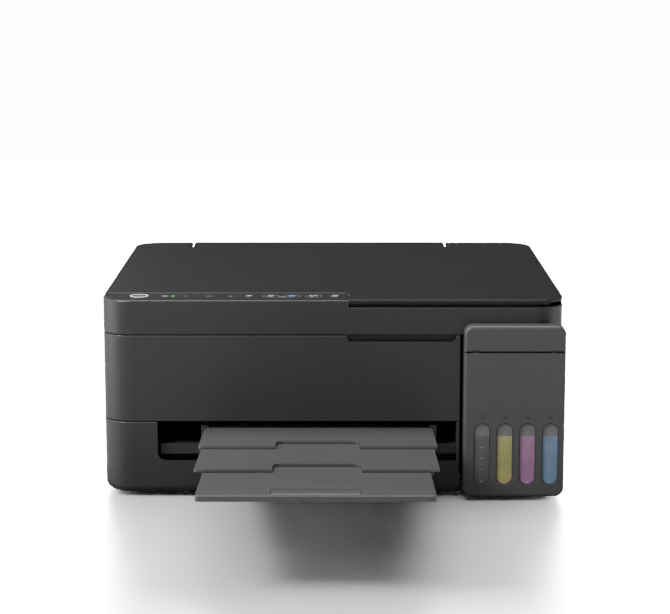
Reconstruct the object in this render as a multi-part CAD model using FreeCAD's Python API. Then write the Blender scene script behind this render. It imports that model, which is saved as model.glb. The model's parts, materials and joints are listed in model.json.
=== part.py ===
import FreeCAD, Part
import math
import os

# Ink-tank multifunction printer: flatbed scanner with document lid on a
# printing base, with an ink tank unit at the front right and a telescopic
# output tray.  Millimetres, +X right, +Y rearward, +Z up.  The functions
# measure y from the main front face; save() moves every piece so that the
# origin is the middle of the footprint, tray included.

# ---- overall sizes -------------------------------------------------------
BODY_W = 372.0          # width of base, scanner and lid
LID_D = 320.0           # depth of scanner unit and lid
BASE_D = 331.0          # depth of the base
FOOT_H = 3.2            # height of the rubber feet
CASE_SEAM_Z = 62.2      # top of the lower case
BASE_TOP_Z = 133.2      # top of the upper case
LID_TOP_Z = 162.4       # top of the closed document lid
CORNER_R = 24.0         # plan radius of the outer corners
BOTTOM_R = 6.0          # radius round the bottom edge
EDGE_R = 0.7            # softened edges of the big mouldings
WALL = 2.5              # wall of the big mouldings
SEAM = 0.5              # visible gap between mouldings
SLIP = 0.4              # clearance beside sliding or swinging pieces
RUN = 0.05              # radial clearance of a journal in its bore

# ---- output opening and tray --------------------------------------------
SLOT_X0 = -141.5        # left end of the output opening
SLOT_Z0 = 30.0          # lower edge of the output opening
SLOT_R = 7.0            # radius of its lower left corner
TRAY_X = -11.4          # middle of the tray and of the paper
TRAY_W = 166.0          # width of the last tray stage
TRAY_LEN = 108.0        # length of each stage
TRAY_REACH = 250.0      # last stage's front edge, in front of the front face
TRAY_FRONT_Z = 70.0     # top of the last stage at its front edge
TRAY_TILT = 4.0         # rise of the tray towards the front, degrees
TRAY_STEP = 84.0        # how far each stage reaches past the one before
TRAY_T = 1.8            # plate of a tray stage
TRAY_LIP_T = 1.2        # lip of a tray rail
TRAY_EDGE_T = 4.2       # front edge of the last stage
RAIL_T = 2.0            # side wall of a tray rail
STOPPER_W = 62.0        # flip-up paper stopper
STOPPER_D = 15.0        # its length
STOPPER_Y = 7.0         # its hinge, behind the tray's front edge
STOPPER_AXIS_DROP = 1.0
STOPPER_PIN_R = 0.6
STOPPER_GAP = 1.5       # room round it in the stages above
TRAY_EDGE_R = 0.8       # softened front edge of a stage
GUIDE_Y = 4.0           # front end of the fixed tray guides
GUIDE_T = 3.0           # width of their walls
GUIDE_POSTS_Y = (10.0, 96.0)
LEDGE_Z0 = 34.5         # ledges at both sides of the output opening
LEDGE_Z1 = 43.0
LEDGE_Y0 = 6.0
LEDGE_Y1 = 36.0
FOOT_Y = 34.0           # front feet
GRIP_X0 = 11.7          # finger recess in the front panel's top edge
GRIP_SCOOP_Z = 128.0

# ---- ink tank unit --------------------------------------------------------
TANK_X0 = 104.8         # left side of the tank unit
TANK_PROUD = 13.0       # how far it stands out of the front face
TANK_REAR = 88.0        # its rear, behind the front face
TANK_TOP_Z = 143.4      # top of its lid
TANK_SEAM_Z = 121.6     # seam between housing and lid
TANK_R = 7.0            # corner radius seen from the front
TANK_EDGE_R = 2.6       # radius round its front face
BAY_GAP = 2.6           # gap between tank unit and case
WINDOW_X0 = 119.6       # middle of the first window
WINDOW_PITCH = 18.3     # from window to window
WINDOW_W = 12.4         # width of a window
WINDOW_Z0 = 13.5        # lower end of a window
WINDOW_Z1 = 63.6        # upper end of a window
TANK_BACK_Y = 0.4       # front of the housing's tall rear part
TANK_COUNT = 4          # black, yellow, magenta, cyan
TANK_EAR_W = 4.0        # knuckles that carry the tank lid
TANK_EAR_R = 1.4
TANK_EAR_INSET = 7.0    # from the side of the unit to a knuckle
TANK_HINGE_R = 1.7      # round lower edge of the tank lid, about its hinge
NECK_R = 3.2            # filler neck
CAP_R = 4.0             # filler cap
LID_PIN_R = 0.8         # moulded pins of the tank lid
CAP_H = 9.0             # height of a cap above the neck's collar

# ---- scanner unit ---------------------------------------------------------
SCAN_FLOOR_T = 2.0      # floor of the scanner's tray
LID_T = 3.0             # document lid at its edges
BED_TOP_Z = 155.2       # top of the glass and its frame
BED_T = 2.4             # frame and glass thickness
GLASS_W = 299.0         # glass, for a page lying across the width
GLASS_D = 217.0
GLASS_Y0 = 44.0         # front edge of the glass
PANEL_X1 = 12.6         # right end of the control panel
PANEL_D = 34.0          # depth of the control panel strip
PANEL_CORNER_R = 6.6    # its corner inside the lid's cut-out
PANEL_TOP_Z = 161.6     # surface of the control panel
RIM_TOP_Z = 161.9       # rim in front of the panel
GRIP_Z = 156.0          # lower lip of the finger gap under the lid
GRIP_D = 9.0            # depth of that gap
GRIP_END_Y = 30.0       # where the gap ends on the right side
RIM_R = 1.3             # rounded top of the rim
LID_EDGE_R = 1.3        # rounded top of the lid
LID_AXIS_Y = 317.0      # hinge of the document lid
LID_AXIS_Z = 156.5
SCAN_AXIS_Y = 326.0     # hinge of the scanner unit
SCAN_AXIS_Z = 152.0
HINGE_X = 159.0         # middle of the hinges, left and right
HINGE_W = 9.2           # width of a swinging lug
EAR_T = 3.6             # thickness of a fixed ear
EAR_R = 4.0             # radius of the scanner hinge's ears
PIN_R = 1.5             # moulded hinge pins

# ---- rear paper feed ------------------------------------------------------
NOTCH_X0 = -133.4       # notch for the paper support
NOTCH_X1 = 106.8
NOTCH_Y = 293.0         # rear wall of the scanner in the notch
NOTCH_GAP = 1.5         # gap beside the support
FLANGE_END_Y = 296.0    # front edge of the support's top, at its ends
FLANGE_MID_Y = 308.0    # and in the middle
FLANGE_GAP = 3.1        # from the lid's rear edge to the support's top
FLANGE_T = 5.4          # thickness of the support's top
SUPPORT_Y0 = 327.0      # front of the support plate
SUPPORT_T = 3.0
SUPPORT_DROP = 0.8      # its top lies this much under the lid's top
SUPPORT_AXIS_Z = 76.0   # hinge of the paper support
SUPPORT_BEARING = 5.5   # width of its bearing blocks
EXT_W = 94.0            # width of its extension
EXT_H = 72.0
EXT_T = 1.8
EXT_LIP = 1.0           # lips that hold the extension
PICKUP_R = 15.0         # pick-up roller
SLOPE_Y = 280.0         # lower end of the sloping paper bed
SLOPE_Z = 76.0
SLOPE_L = 62.0          # its length
SLOPE_DEG = 49.5
GUIDE_S = 18.0          # slot of the edge guide, along the slope
GUIDE_X1 = 10.0         # right end of that slot
FRAME_X0 = -131.2       # paper feed frame
FRAME_X1 = 104.6
CHEEK_TOP_Z = 131.0
GUARD_Y = 299.0         # hinge of the feeder guard
GUARD_Z = 127.0
GUARD_L = 21.0
GUARD_T = 1.8
GUARD_LEAN = 38.0       # lean of the guard over the slot when closed
GUARD_INSET = 9.0       # from the frame's end to the guard's flap

# ---- control panel --------------------------------------------------------
PANEL_KEY_Y = 21.5      # line through the middle of the keys
POWER_X = -156.5        # power key
POWER_R = 7.4
LIGHT_X = -129.3        # status light
KEY_X0 = -67.4          # first of the round keys
KEY_PITCH = 17.3
KEY_R = 4.3
KEY_COUNT = 5
KEY_CLEAR = 0.35        # clearance round a key

PANEL_T = 2.2           # thickness of the panel strip
KEY_PROUD = 0.3         # how far a key stands out
LIGHT_R = 1.6
GLASS_X = 0.0           # middle of the glass
GLASS_GAP = 0.3         # gap round the glass
LID_EAR_R = 2.2         # ears of the lid's hinge
SCAN_HOME_X = -171.0    # left side of the parked scan carriage
SCAN_BAR_W = 18.0
SCAN_RAIL_Y = 152.0
SCAN_RAIL_Z = 139.8
SCAN_RAIL_R = 2.5

# ---- print mechanism ------------------------------------------------------
PATH_Z = 58.0           # paper path over the platen
MECH_X0 = -165.0        # left side plate
MECH_X1 = 150.0         # right side plate
SHEET = 1.2             # sheet steel
CARRIAGE_X0 = 100.0     # left side of the carriage when parked
CARRIAGE_W = 44.0
CARRIAGE_Y0 = 152.0
CARRIAGE_Y1 = 200.0
CARRIAGE_TOP_Z = 116.0
RAIL_Z = 90.0           # middle of the carriage rail
RAIL_Y = 205.0
BACK_Y = 210.0          # back plate of the chassis
BELT_Z = 107.0          # middle of the carriage belt loop
PULLEY_R = 5.0
BELT_T = 1.0
BELT_X0 = -154.0        # idler pulley
BELT_X1 = 141.0         # motor pulley
FEED_Y = 216.0          # feed roller
FEED_R = 5.5
FEED_SHAFT_R = 3.0      # journals of the feed and eject rollers
EJECT_Y = 140.0         # eject roller
GEAR_MODULE = 0.8
FEED_TEETH = 48
PINION_TEETH = 12
GEAR_W = 5.0
PINION_DEG = 225.0      # direction from the feed roller to its motor
SHAFT_R = 1.0           # motor and idler shafts
SHAFT_HOLE_R = 2.5      # holes for them in the chassis
FLANGE_W = 12.0         # foot flanges of the chassis
SCREW_YS = (150.0, 255.0)
BOSS_H = 5.0            # screw bosses on the case floor
BOSS_R = 4.5
SCREW_R = 1.5
SCREW_HEAD_R = 3.0
SCREW_HEAD_H = 2.0
BELT_Y0 = 203.5         # front edge of the carriage belt
PLATEN_X0 = -125.0      # left end of the platen's ribs
RING_COUNT = 8          # gripping rings and star wheels
RING_PITCH = 28.0
CHASSIS_TOP_Z = 118.0
TUBE_TOP_Z = 112.0      # upper end of the ink tubes
TUBE_X0 = 171.5         # first ink tube
TUBE_PITCH = 3.2
TUBE_R = 1.3
TUBE_BEND = 14.0
PICKUP_X = 48.0         # middle of the pick-up tyre
PICKUP_W = 40.0

# ---- electronics ----------------------------------------------------------
INLET_X = 132.0         # mains inlet in the rear wall
INLET_Z = 30.0
INLET_W = 24.0
INLET_H = 20.0
USB_X = -100.0          # data socket in the rear wall
USB_Z = 26.0
USB_W = 13.0
USB_H = 12.0

# ---- worked out from the sizes above -------------------------------------
HALF_W = BODY_W / 2
REAR_Y = SUPPORT_Y0 + SUPPORT_T + 2 * SLIP + EXT_T + EXT_LIP
TILT = math.radians(TRAY_TILT)
TRAY_FRONT = TRAY_REACH + TRAY_EDGE_T * math.sin(TILT)
FRONT_Y = (TRAY_FRONT - REAR_Y) / 2
SCAN_Z = BASE_TOP_Z + SEAM
LID_Z = LID_TOP_Z - LID_T
RIM_Z = LID_Z - 0.6
BAY_X = TANK_X0 - BAY_GAP
TUBE_Z = FOOT_H + WALL + 5.0
BAY_Y = TANK_REAR + BAY_GAP
FLOOR_Z = FOOT_H + WALL
STAGE_DROP = TRAY_T + SLIP
ROLLER_Z = PATH_Z - FEED_R
TANK_AXIS_Y = TANK_HINGE_R - TANK_PROUD
TANK_AXIS_Z = TANK_SEAM_Z + SEAM / 2 + TANK_HINGE_R
NECK_Y = -TANK_PROUD + WALL + 1.2 + CAP_R
NECK_TOP_Z = TANK_SEAM_Z + 2.0
GEAR_X0 = MECH_X0 - 7.0
PINION_GAP = (FEED_TEETH + PINION_TEETH) * GEAR_MODULE / 2
PINION_Y = FEED_Y + PINION_GAP * math.cos(math.radians(PINION_DEG))
PINION_Z = ROLLER_Z + PINION_GAP * math.sin(math.radians(PINION_DEG))
CHANNEL_Z = LID_AXIS_Z - 0.7
SUPPORT_AXIS_Y = SUPPORT_Y0 + SUPPORT_T / 2
SLOPE = math.radians(SLOPE_DEG)
PICKUP_GAP = PICKUP_R + 0.5
PICKUP_Y = SLOPE_Y - PICKUP_GAP * math.sin(SLOPE)
PICKUP_Z = SLOPE_Z + PICKUP_GAP * math.cos(SLOPE)
X_AXIS = FreeCAD.Vector(1, 0, 0)
Y_AXIS = FreeCAD.Vector(0, 1, 0)
Z_AXIS = FreeCAD.Vector(0, 0, 1)


# ---- helpers --------------------------------------------------------------
def save(name, shape):
    """Move a piece from the front face's frame to the part's and write it."""
    placed = shape.copy()
    placed.translate(FreeCAD.Vector(0, FRONT_Y, 0))
    placed.exportStep("parts/" + name + ".step")


def box(x0, x1, y0, y1, z0, z1):
    corner = FreeCAD.Vector(x0, y0, z0)
    return Part.makeBox(x1 - x0, y1 - y0, z1 - z0, corner)


def rod(x0, x1, y, z, radius):
    """Round bar along X."""
    return Part.makeCylinder(radius, x1 - x0, FreeCAD.Vector(x0, y, z), X_AXIS)


def rod_y(x, y0, y1, z, radius):
    return Part.makeCylinder(radius, y1 - y0, FreeCAD.Vector(x, y0, z), Y_AXIS)


def rod_z(x, y, z0, z1, radius):
    return Part.makeCylinder(radius, z1 - z0, FreeCAD.Vector(x, y, z0), Z_AXIS)


def join(first, *others):
    return first.fuse(list(others)).removeSplitter()


def group(shapes):
    """Several separate solids kept in one piece file."""
    return Part.makeCompound(shapes)


def edges_along(shape, axis, keep=lambda centre: True):
    """Straight edges parallel to an axis whose middle passes a test."""
    found = []
    for edge in shape.Edges:
        ends = edge.Vertexes
        if len(ends) != 2 or edge.Curve.TypeId != "Part::GeomLine":
            continue
        run = ends[1].Point.sub(ends[0].Point)
        if run.Length > 0 and run.cross(axis).Length < 1e-6 * run.Length:
            if keep(edge.CenterOfMass):
                found.append(edge)
    return found


def edges_at_z(shape, z):
    return [e for e in shape.Edges
            if abs(e.BoundBox.ZMin - z) < 1e-6 and abs(e.BoundBox.ZMax - z) < 1e-6]


def softened(shape, heights, radius):
    """Round the edges that lie flat at the given heights."""
    for z in heights:
        shape = shape.makeFillet(radius, edges_at_z(shape, z))
    return shape


def span(a, b):
    """Two numbers in rising order, for boxes mirrored in X."""
    return (a, b) if a < b else (b, a)


def slab(x0, x1, y0, y1, z0, z1, radius):
    """Plate or block with rounded upright corners."""
    block = box(x0, x1, y0, y1, z0, z1)
    return block.makeFillet(radius, edges_along(block, Z_AXIS))


def outer_slab(z0, z1, inset=0.0, depth=LID_D):
    """The printer's plan outline, pulled in by an inset."""
    return slab(-HALF_W + inset, HALF_W - inset, inset, depth - inset, z0, z1,
                CORNER_R - inset)


def stadium(x, z0, z1, width, y0, y1):
    """Upright slot shape with round ends, running along Y."""
    radius = width / 2
    return join(box(x - radius, x + radius, y0, y1, z0 + radius, z1 - radius),
                rod_y(x, y0, y1, z0 + radius, radius),
                rod_y(x, y0, y1, z1 - radius, radius))


def gear(teeth, module, x0, x1, y, z, bore, phase=0.0):
    """Spur gear about an X axis, with trapezoid teeth and a little backlash."""
    pitch_r = teeth * module / 2
    root_r = pitch_r - 1.2 * module
    tip_r = pitch_r + 0.85 * module
    step = 2 * math.pi / teeth
    points = []
    for index in range(teeth):
        middle = phase + index * step
        for radius, share in ((root_r, -0.36), (tip_r, -0.13),
                              (tip_r, 0.13), (root_r, 0.36)):
            angle = middle + share * step
            points.append(FreeCAD.Vector(x0, y + radius * math.cos(angle),
                                         z + radius * math.sin(angle)))
    points.append(points[0])
    disc = Part.Face(Part.makePolygon(points)).extrude(X_AXIS * (x1 - x0))
    return disc.cut(rod(x0 - 1, x1 + 1, y, z, bore))


# ---- base -----------------------------------------------------------------
def tank_bay(z0, z1, grow=0.0):
    """Room that the ink tank unit takes out of the base."""
    return box(BAY_X - grow, HALF_W + 10, -10, BAY_Y + grow, z0, z1)


def base_ring(z0, z1):
    """Outer wall of the base between two heights, with the tank bay's walls."""
    solid = softened(outer_slab(z0, z1, 0.0, BASE_D), (z0, z1), EDGE_R)
    hollow = outer_slab(z0 - 1, z1 + 1, WALL, BASE_D)
    ring = solid.cut(hollow.cut(tank_bay(z0 - 2, z1 + 2, WALL)))
    return ring.cut(tank_bay(z0 - 2, z1 + 2))


def stage_rails(x_half, top, y0, y1):
    """Side walls under a stage, with inward lips that hold the next stage."""
    low = top - stage_depth()
    pieces = []
    for side in (-1, 1):
        wall = span(side * x_half, side * (x_half - RAIL_T))
        lip = span(side * x_half, side * (x_half - RAIL_T - 3.0))
        pieces.append(box(*wall, y0, y1, low, top))
        pieces.append(box(*lip, y0, y1, low, low + TRAY_LIP_T))
    return pieces


def stage_depth():
    """From a stage's top down to the underside of its rails."""
    return 2 * (TRAY_T + SLIP) + TRAY_LIP_T


def tilt_tray(shape):
    """From the tray's own frame to its sloping place in the printer."""
    placed = shape.copy()
    placed.rotate(FreeCAD.Vector(0, 0, 0), X_AXIS, -TRAY_TILT)
    placed.translate(FreeCAD.Vector(TRAY_X, -TRAY_REACH, TRAY_FRONT_Z))
    return placed


def tray_height(y, rise):
    """Height in the printer of a point of the tray's frame, over depth y."""
    return TRAY_FRONT_Z - (y + TRAY_REACH) * math.tan(TILT) + rise / math.cos(TILT)


def stage_half_width(stage):
    """Half width of a stage's plate; stage 3 is the last one."""
    half = TRAY_W / 2
    if stage <= 2:
        half += RAIL_T + RAIL_T + 2.0 + SLIP
    if stage == 1:
        half += RAIL_T + SLIP
    return half


def stage_top(stage):
    return (3 - stage) * STAGE_DROP


def stage_span(stage):
    """Front and rear of a stage in the tray's own frame."""
    front = (3 - stage) * TRAY_STEP
    return front, front + TRAY_LEN


def tray_guides():
    """Fixed guides of the first tray stage, on both sides of the base."""
    half = stage_half_width(1) + SLIP
    front = TRAY_REACH + GUIDE_Y
    rear = front + TRAY_LEN
    roof = stage_top(1) + SLIP
    low = stage_top(1) - stage_depth() - SLIP
    pieces = []
    for side in (-1, 1):
        wall = span(side * half, side * (half + GUIDE_T))
        shelf = span(side * (half - GUIDE_T), side * (half + GUIDE_T))
        pieces.append(box(*shelf, front, rear, low - 2.0, low))
        pieces.append(box(*wall, front, rear, low - 2.0, roof))
        pieces.append(box(*shelf, front, rear, roof, roof + 1.6))
    return pieces


def guide_posts():
    """Posts on the floor that carry the tray guides."""
    half = stage_half_width(1) + SLIP
    middle = stage_top(1) - stage_depth() / 2
    posts = []
    for side in (-1, 1):
        x0, x1 = span(TRAY_X + side * (half + 1.0), TRAY_X + side * (half + GUIDE_T))
        for y in GUIDE_POSTS_Y:
            posts.append(box(x0, x1, y, y + 6.0, FLOOR_Z - 0.5, tray_height(y, middle)))
    return posts


def slot_ledges():
    """Ledges beside the tray, on feet set back from the output opening."""
    half = stage_half_width(1) + SLIP + GUIDE_T + 1.0
    pieces = []
    for x0, x1 in ((SLOT_X0 + 2.0, TRAY_X - half), (TRAY_X + half, BAY_X - 1.0)):
        pieces.append(box(x0, x1, LEDGE_Y0, LEDGE_Y1, LEDGE_Z0, LEDGE_Z1))
        pieces.append(box(x0, x1, LEDGE_Y1 - 6.0, LEDGE_Y1, FLOOR_Z - 0.5, LEDGE_Z1))
    return pieces


def lower_case():
    """Bottom moulding: floor, outer wall, tray opening and tray guides."""
    solid = outer_slab(FOOT_H, CASE_SEAM_Z, 0.0, BASE_D)
    solid = softened(solid, (FOOT_H,), BOTTOM_R)
    solid = softened(solid, (CASE_SEAM_Z,), EDGE_R)
    hollow = outer_slab(FLOOR_Z, CASE_SEAM_Z + 1, WALL, BASE_D)
    case = solid.cut(hollow.cut(tank_bay(FOOT_H, CASE_SEAM_Z + 2, WALL)))
    case = case.cut(tank_bay(FOOT_H - 1, CASE_SEAM_Z + 2))
    slot = box(SLOT_X0, BAY_X - WALL, -1, WALL + 1, SLOT_Z0, CASE_SEAM_Z + 1)
    corner = edges_along(slot, Y_AXIS,
                         lambda c: c.x < SLOT_X0 + 1 and c.z < SLOT_Z0 + 1)
    case = case.cut(slot.makeFillet(SLOT_R, corner))
    guides = [tilt_tray(guide) for guide in tray_guides()]
    case = join(case, *guides, *guide_posts(), *slot_ledges(), *screw_bosses())
    tubes = TUBE_X0 - TUBE_R - 1
    case = case.cut(box(tubes, tubes + 3 * TUBE_PITCH + 2 * TUBE_R + 2, BAY_Y - 1,
                        BAY_Y + WALL + 1, TUBE_Z - 3, TUBE_Z + 3))
    for x, z, width, height in ((INLET_X, INLET_Z, INLET_W, INLET_H),
                                (USB_X, USB_Z, USB_W, USB_H)):
        case = case.cut(box(x - width / 2, x + width / 2, BASE_D - WALL - 1, BASE_D + 1,
                            z - height / 2, z + height / 2))
    for x, y in screw_places():
        case = case.cut(rod_z(x, y, FLOOR_Z, FLOOR_Z + BOSS_H + 1, SCREW_R + RUN))
    return case


def screw_places():
    """Middles of the screws that hold the chassis on the lower case."""
    return [(x, y) for x in (MECH_X0 - FLANGE_W / 2, MECH_X1 + FLANGE_W / 2)
            for y in SCREW_YS]


def screw_bosses():
    return [rod_z(x, y, FLOOR_Z - 0.5, FLOOR_Z + BOSS_H, BOSS_R)
            for x, y in screw_places()]


def upper_case():
    """Front panel, side and rear walls, deck rim and scanner hinge towers."""
    low = CASE_SEAM_Z + SEAM
    deck = outer_slab(BASE_TOP_Z - WALL, BASE_TOP_Z, 1.0, BASE_D)
    deck = deck.cut(box(-HALF_W + 14, BAY_X - 16, 18, NOTCH_Y - 10, low, BASE_TOP_Z + 1))
    deck = deck.cut(box(0, HALF_W - 14, BAY_Y + 14, NOTCH_Y - 10, low, BASE_TOP_Z + 1))
    deck = deck.cut(tank_bay(low, BASE_TOP_Z + 1))
    grip = box(GRIP_X0 - 5, BAY_X - 1, 1.0, 12, GRIP_SCOOP_Z - 4, BASE_TOP_Z)
    case = join(base_ring(low, BASE_TOP_Z), deck, grip, *scanner_towers())
    scoop = box(GRIP_X0, BAY_X - WALL - 1, -1, 8, GRIP_SCOOP_Z, BASE_TOP_Z + 1)
    ends = edges_along(scoop, Y_AXIS, lambda c: c.z < GRIP_SCOOP_Z + 1)
    case = case.cut(scoop.makeFillet(3.5, ends))
    case = case.cut(box(NOTCH_X0, NOTCH_X1, NOTCH_Y + 2, BASE_D + 1,
                        SUPPORT_AXIS_Z - 6, BASE_TOP_Z + 1))
    case = join(case, *support_bearings())
    return case.cut(rod(NOTCH_X0 - SUPPORT_BEARING, NOTCH_X1 + SUPPORT_BEARING,
                        SUPPORT_AXIS_Y, SUPPORT_AXIS_Z, PIN_R + RUN))


def scanner_towers():
    """Two ears and a moulded pin on each side, at the rear of the base."""
    pieces = []
    for side in (-1, 1):
        middle = side * HINGE_X
        inner = HINGE_W / 2 + SLIP
        for x0 in (middle - inner - EAR_T, middle + inner):
            pieces.append(box(x0, x0 + EAR_T, SCAN_AXIS_Y - EAR_R, SCAN_AXIS_Y + EAR_R,
                              BASE_TOP_Z - WALL, SCAN_AXIS_Z))
            pieces.append(rod(x0, x0 + EAR_T, SCAN_AXIS_Y, SCAN_AXIS_Z, EAR_R))
        pieces.append(rod(middle - inner - 1, middle + inner + 1,
                          SCAN_AXIS_Y, SCAN_AXIS_Z, PIN_R))
    return pieces


def support_bearings():
    """Bearing blocks for the paper support, at both ends of the notch."""
    return [box(x0, x0 + SUPPORT_BEARING, SUPPORT_AXIS_Y - 5, BASE_D,
                SUPPORT_AXIS_Z - 6, SUPPORT_AXIS_Z + 6)
            for x0 in (NOTCH_X0 - SUPPORT_BEARING, NOTCH_X1)]


def rubber_feet():
    feet = []
    for x in (-HALF_W + 32, HALF_W - 34):
        for y in (FOOT_Y, BASE_D - 34):
            foot = rod_z(x, y, 0, FOOT_H, 9.0)
            feet.append(foot.makeChamfer(0.8, edges_at_z(foot, 0)))
    return group(feet)


# ---- output tray ----------------------------------------------------------
def tray_stage(stage):
    """One telescopic tray stage with rails for the next one."""
    half = stage_half_width(stage)
    top = stage_top(stage)
    front, rear = stage_span(stage)
    plate = slab(-half, half, front, rear, top - TRAY_T, top, 3.0)
    if stage < 3:
        inner = half if stage == 1 else half - RAIL_T - 2.0
        plate = join(plate, *stage_rails(inner, top, front + 8.0, rear))
        x = STOPPER_W / 2 + STOPPER_GAP
        bay = box(-x, x, front - 1, front + STOPPER_Y + STOPPER_D + STOPPER_GAP,
                  top - TRAY_T - 1, top + 1)
        inside = edges_along(bay, Z_AXIS, lambda c: c.y > front)
        return tilt_tray(plate.cut(bay.makeFillet(6.0, inside)))
    lip = slab(-half, half, front, front + 6.5, top - TRAY_EDGE_T, top, 3.0)
    plate = softened(join(plate, lip), (top,), TRAY_EDGE_R)
    x = STOPPER_W / 2 + SLIP
    y = front + STOPPER_Y
    plate = plate.cut(box(-x, x, y - 2.2, y + STOPPER_D + SLIP, top - TRAY_EDGE_T - 1,
                          top + 1))
    pins = [rod(side * x - 1, side * x + 1, y, top - STOPPER_AXIS_DROP, STOPPER_PIN_R)
            for side in (-1, 1)]
    return tilt_tray(join(plate, *pins))


def tray_stopper():
    """Flap in the last stage that flips up and stops the paper."""
    y = stage_span(3)[0] + STOPPER_Y
    z = stage_top(3) - STOPPER_AXIS_DROP
    half = STOPPER_W / 2
    flap = box(-half, half, y, y + STOPPER_D, z - 0.8, z + 0.8)
    flap = join(flap, rod(-half, half, y, z, 0.8 + STOPPER_PIN_R))
    for side in (-1, 1):
        x = side * half
        flap = flap.cut(rod(x - 1.2, x + 1.2, y, z, STOPPER_PIN_R + RUN))
    return tilt_tray(flap)


# ---- ink tank unit --------------------------------------------------------
def window_x(index):
    return WINDOW_X0 + index * WINDOW_PITCH


def tank_block(z0, z1, y1, corner_z):
    """Block of the tank unit's front outline with its rounded front edges."""
    block = box(TANK_X0, HALF_W, -TANK_PROUD, y1, z0, z1)
    corners = edges_along(block, Y_AXIS, lambda c: abs(c.z - corner_z) < 1)
    block = block.makeFillet(TANK_R, corners)
    open_z = z0 + z1 - corner_z
    rim = [e for e in block.Edges
           if abs(e.BoundBox.YMin + TANK_PROUD) < 1e-6
           and abs(e.BoundBox.YMax + TANK_PROUD) < 1e-6
           and not (abs(e.BoundBox.ZMin - open_z) < 1e-6
                    and abs(e.BoundBox.ZMax - open_z) < 1e-6)]
    return block.makeFillet(TANK_EDGE_R, rim)


def ear_starts():
    """Left ends of the tank lid's two knuckles."""
    return TANK_X0 + TANK_EAR_INSET, HALF_W - TANK_EAR_INSET - TANK_EAR_W


def tank_ears(gap):
    """Knuckles of the tank lid on stems; with a gap they cut its notches."""
    pieces = []
    for x0 in ear_starts():
        x1 = x0 + TANK_EAR_W
        pieces.append(rod(x0 - gap, x1 + gap, TANK_AXIS_Y, TANK_AXIS_Z,
                          TANK_EAR_R + gap))
        pieces.append(box(x0 - gap, x1 + gap, TANK_AXIS_Y - 0.1 - gap,
                          TANK_AXIS_Y + TANK_EAR_R + gap, TANK_SEAM_Z - 1.0,
                          TANK_AXIS_Z))
    return pieces


def tank_housing():
    """Casing of the ink tank unit with four gauge windows."""
    top = TANK_SEAM_Z - SEAM / 2
    front = -TANK_PROUD
    shell = tank_block(FOOT_H, top, TANK_REAR, FOOT_H)
    back = box(TANK_X0, HALF_W, TANK_BACK_Y, TANK_REAR, top - 1, BASE_TOP_Z)
    shell = join(shell, back)
    shell = shell.cut(box(TANK_X0 + WALL, HALF_W - WALL, front + WALL,
                          TANK_REAR + 1, FLOOR_Z, top - WALL))
    shell = shell.cut(box(TANK_X0 + WALL, HALF_W - WALL, TANK_BACK_Y + WALL,
                          TANK_REAR + 1, top - WALL - 1, BASE_TOP_Z - WALL))
    for index in range(TANK_COUNT):
        x = window_x(index)
        shell = shell.cut(stadium(x, WINDOW_Z0, WINDOW_Z1, WINDOW_W,
                                  front - 1, front + WALL + 1))
        lip = stadium(x, WINDOW_Z0 - 0.75, WINDOW_Z1 + 0.75, WINDOW_W + 1.5,
                      front - 1, front + 0.7)
        shell = shell.cut(lip)
        shell = shell.cut(rod_z(x, NECK_Y, top - WALL - 1, top + 1, NECK_R + SLIP))
    shell = join(shell, *tank_ears(0.0))
    for x0 in ear_starts():
        shell = shell.cut(rod(x0 - 1, x0 + TANK_EAR_W + 1, TANK_AXIS_Y, TANK_AXIS_Z,
                              LID_PIN_R + RUN))
    return shell


def tank_lid():
    """Front cover over the filler caps; it swings forward about its lower edge."""
    low = TANK_SEAM_Z + SEAM / 2
    lid = tank_block(low, TANK_TOP_Z, TANK_BACK_Y - 1.0, TANK_TOP_Z)
    edge = box(TANK_X0 - 1, HALF_W + 1, -TANK_PROUD - 1, TANK_AXIS_Y, low - 1, TANK_AXIS_Z)
    lid = lid.cut(edge.cut(rod(TANK_X0 - 2, HALF_W + 2, TANK_AXIS_Y, TANK_AXIS_Z,
                               TANK_HINGE_R)))
    lid = lid.cut(box(TANK_X0 + WALL, HALF_W - WALL, -TANK_PROUD + WALL, 1,
                      low - 1, TANK_TOP_Z - WALL))
    for cutter in tank_ears(SLIP):
        lid = lid.cut(cutter)
    reach = SLIP + 0.3
    pins = [rod(x0 - reach, x0 + TANK_EAR_W + reach, TANK_AXIS_Y, TANK_AXIS_Z, LID_PIN_R)
            for x0 in ear_starts()]
    return join(lid, *pins)


def ink_tank_block():
    """Four clear chambers in one moulding, with gauge faces and filler necks."""
    x0 = TANK_X0 + WALL + 0.3
    x1 = HALF_W - WALL - 0.3
    y0 = -TANK_PROUD + WALL + 0.2
    top = TANK_SEAM_Z - SEAM / 2 - WALL - 4.0
    block = box(x0, x1, y0, TANK_REAR - 6, FLOOR_Z + 0.5, top)
    pieces = []
    for index in range(TANK_COUNT):
        x = window_x(index)
        pieces.append(stadium(x, WINDOW_Z0 + 0.3, WINDOW_Z1 - 0.3, WINDOW_W - 0.6,
                              y0 - 1.3, y0 + 0.5))
        pieces.append(rod_z(x, NECK_Y, top - 0.5, NECK_TOP_Z, NECK_R))
    block = join(block, *pieces)
    for index in range(TANK_COUNT):
        x = window_x(index)
        half = WINDOW_PITCH / 2 - 0.8
        block = block.cut(box(x - half, x + half, y0 + 1.4, TANK_REAR - 7.6,
                              FLOOR_Z + 2.0, top - 1.4))
        block = block.cut(rod_z(x, NECK_Y, top - 3, NECK_TOP_Z + 1, NECK_R - 1.1))
    return block


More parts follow.
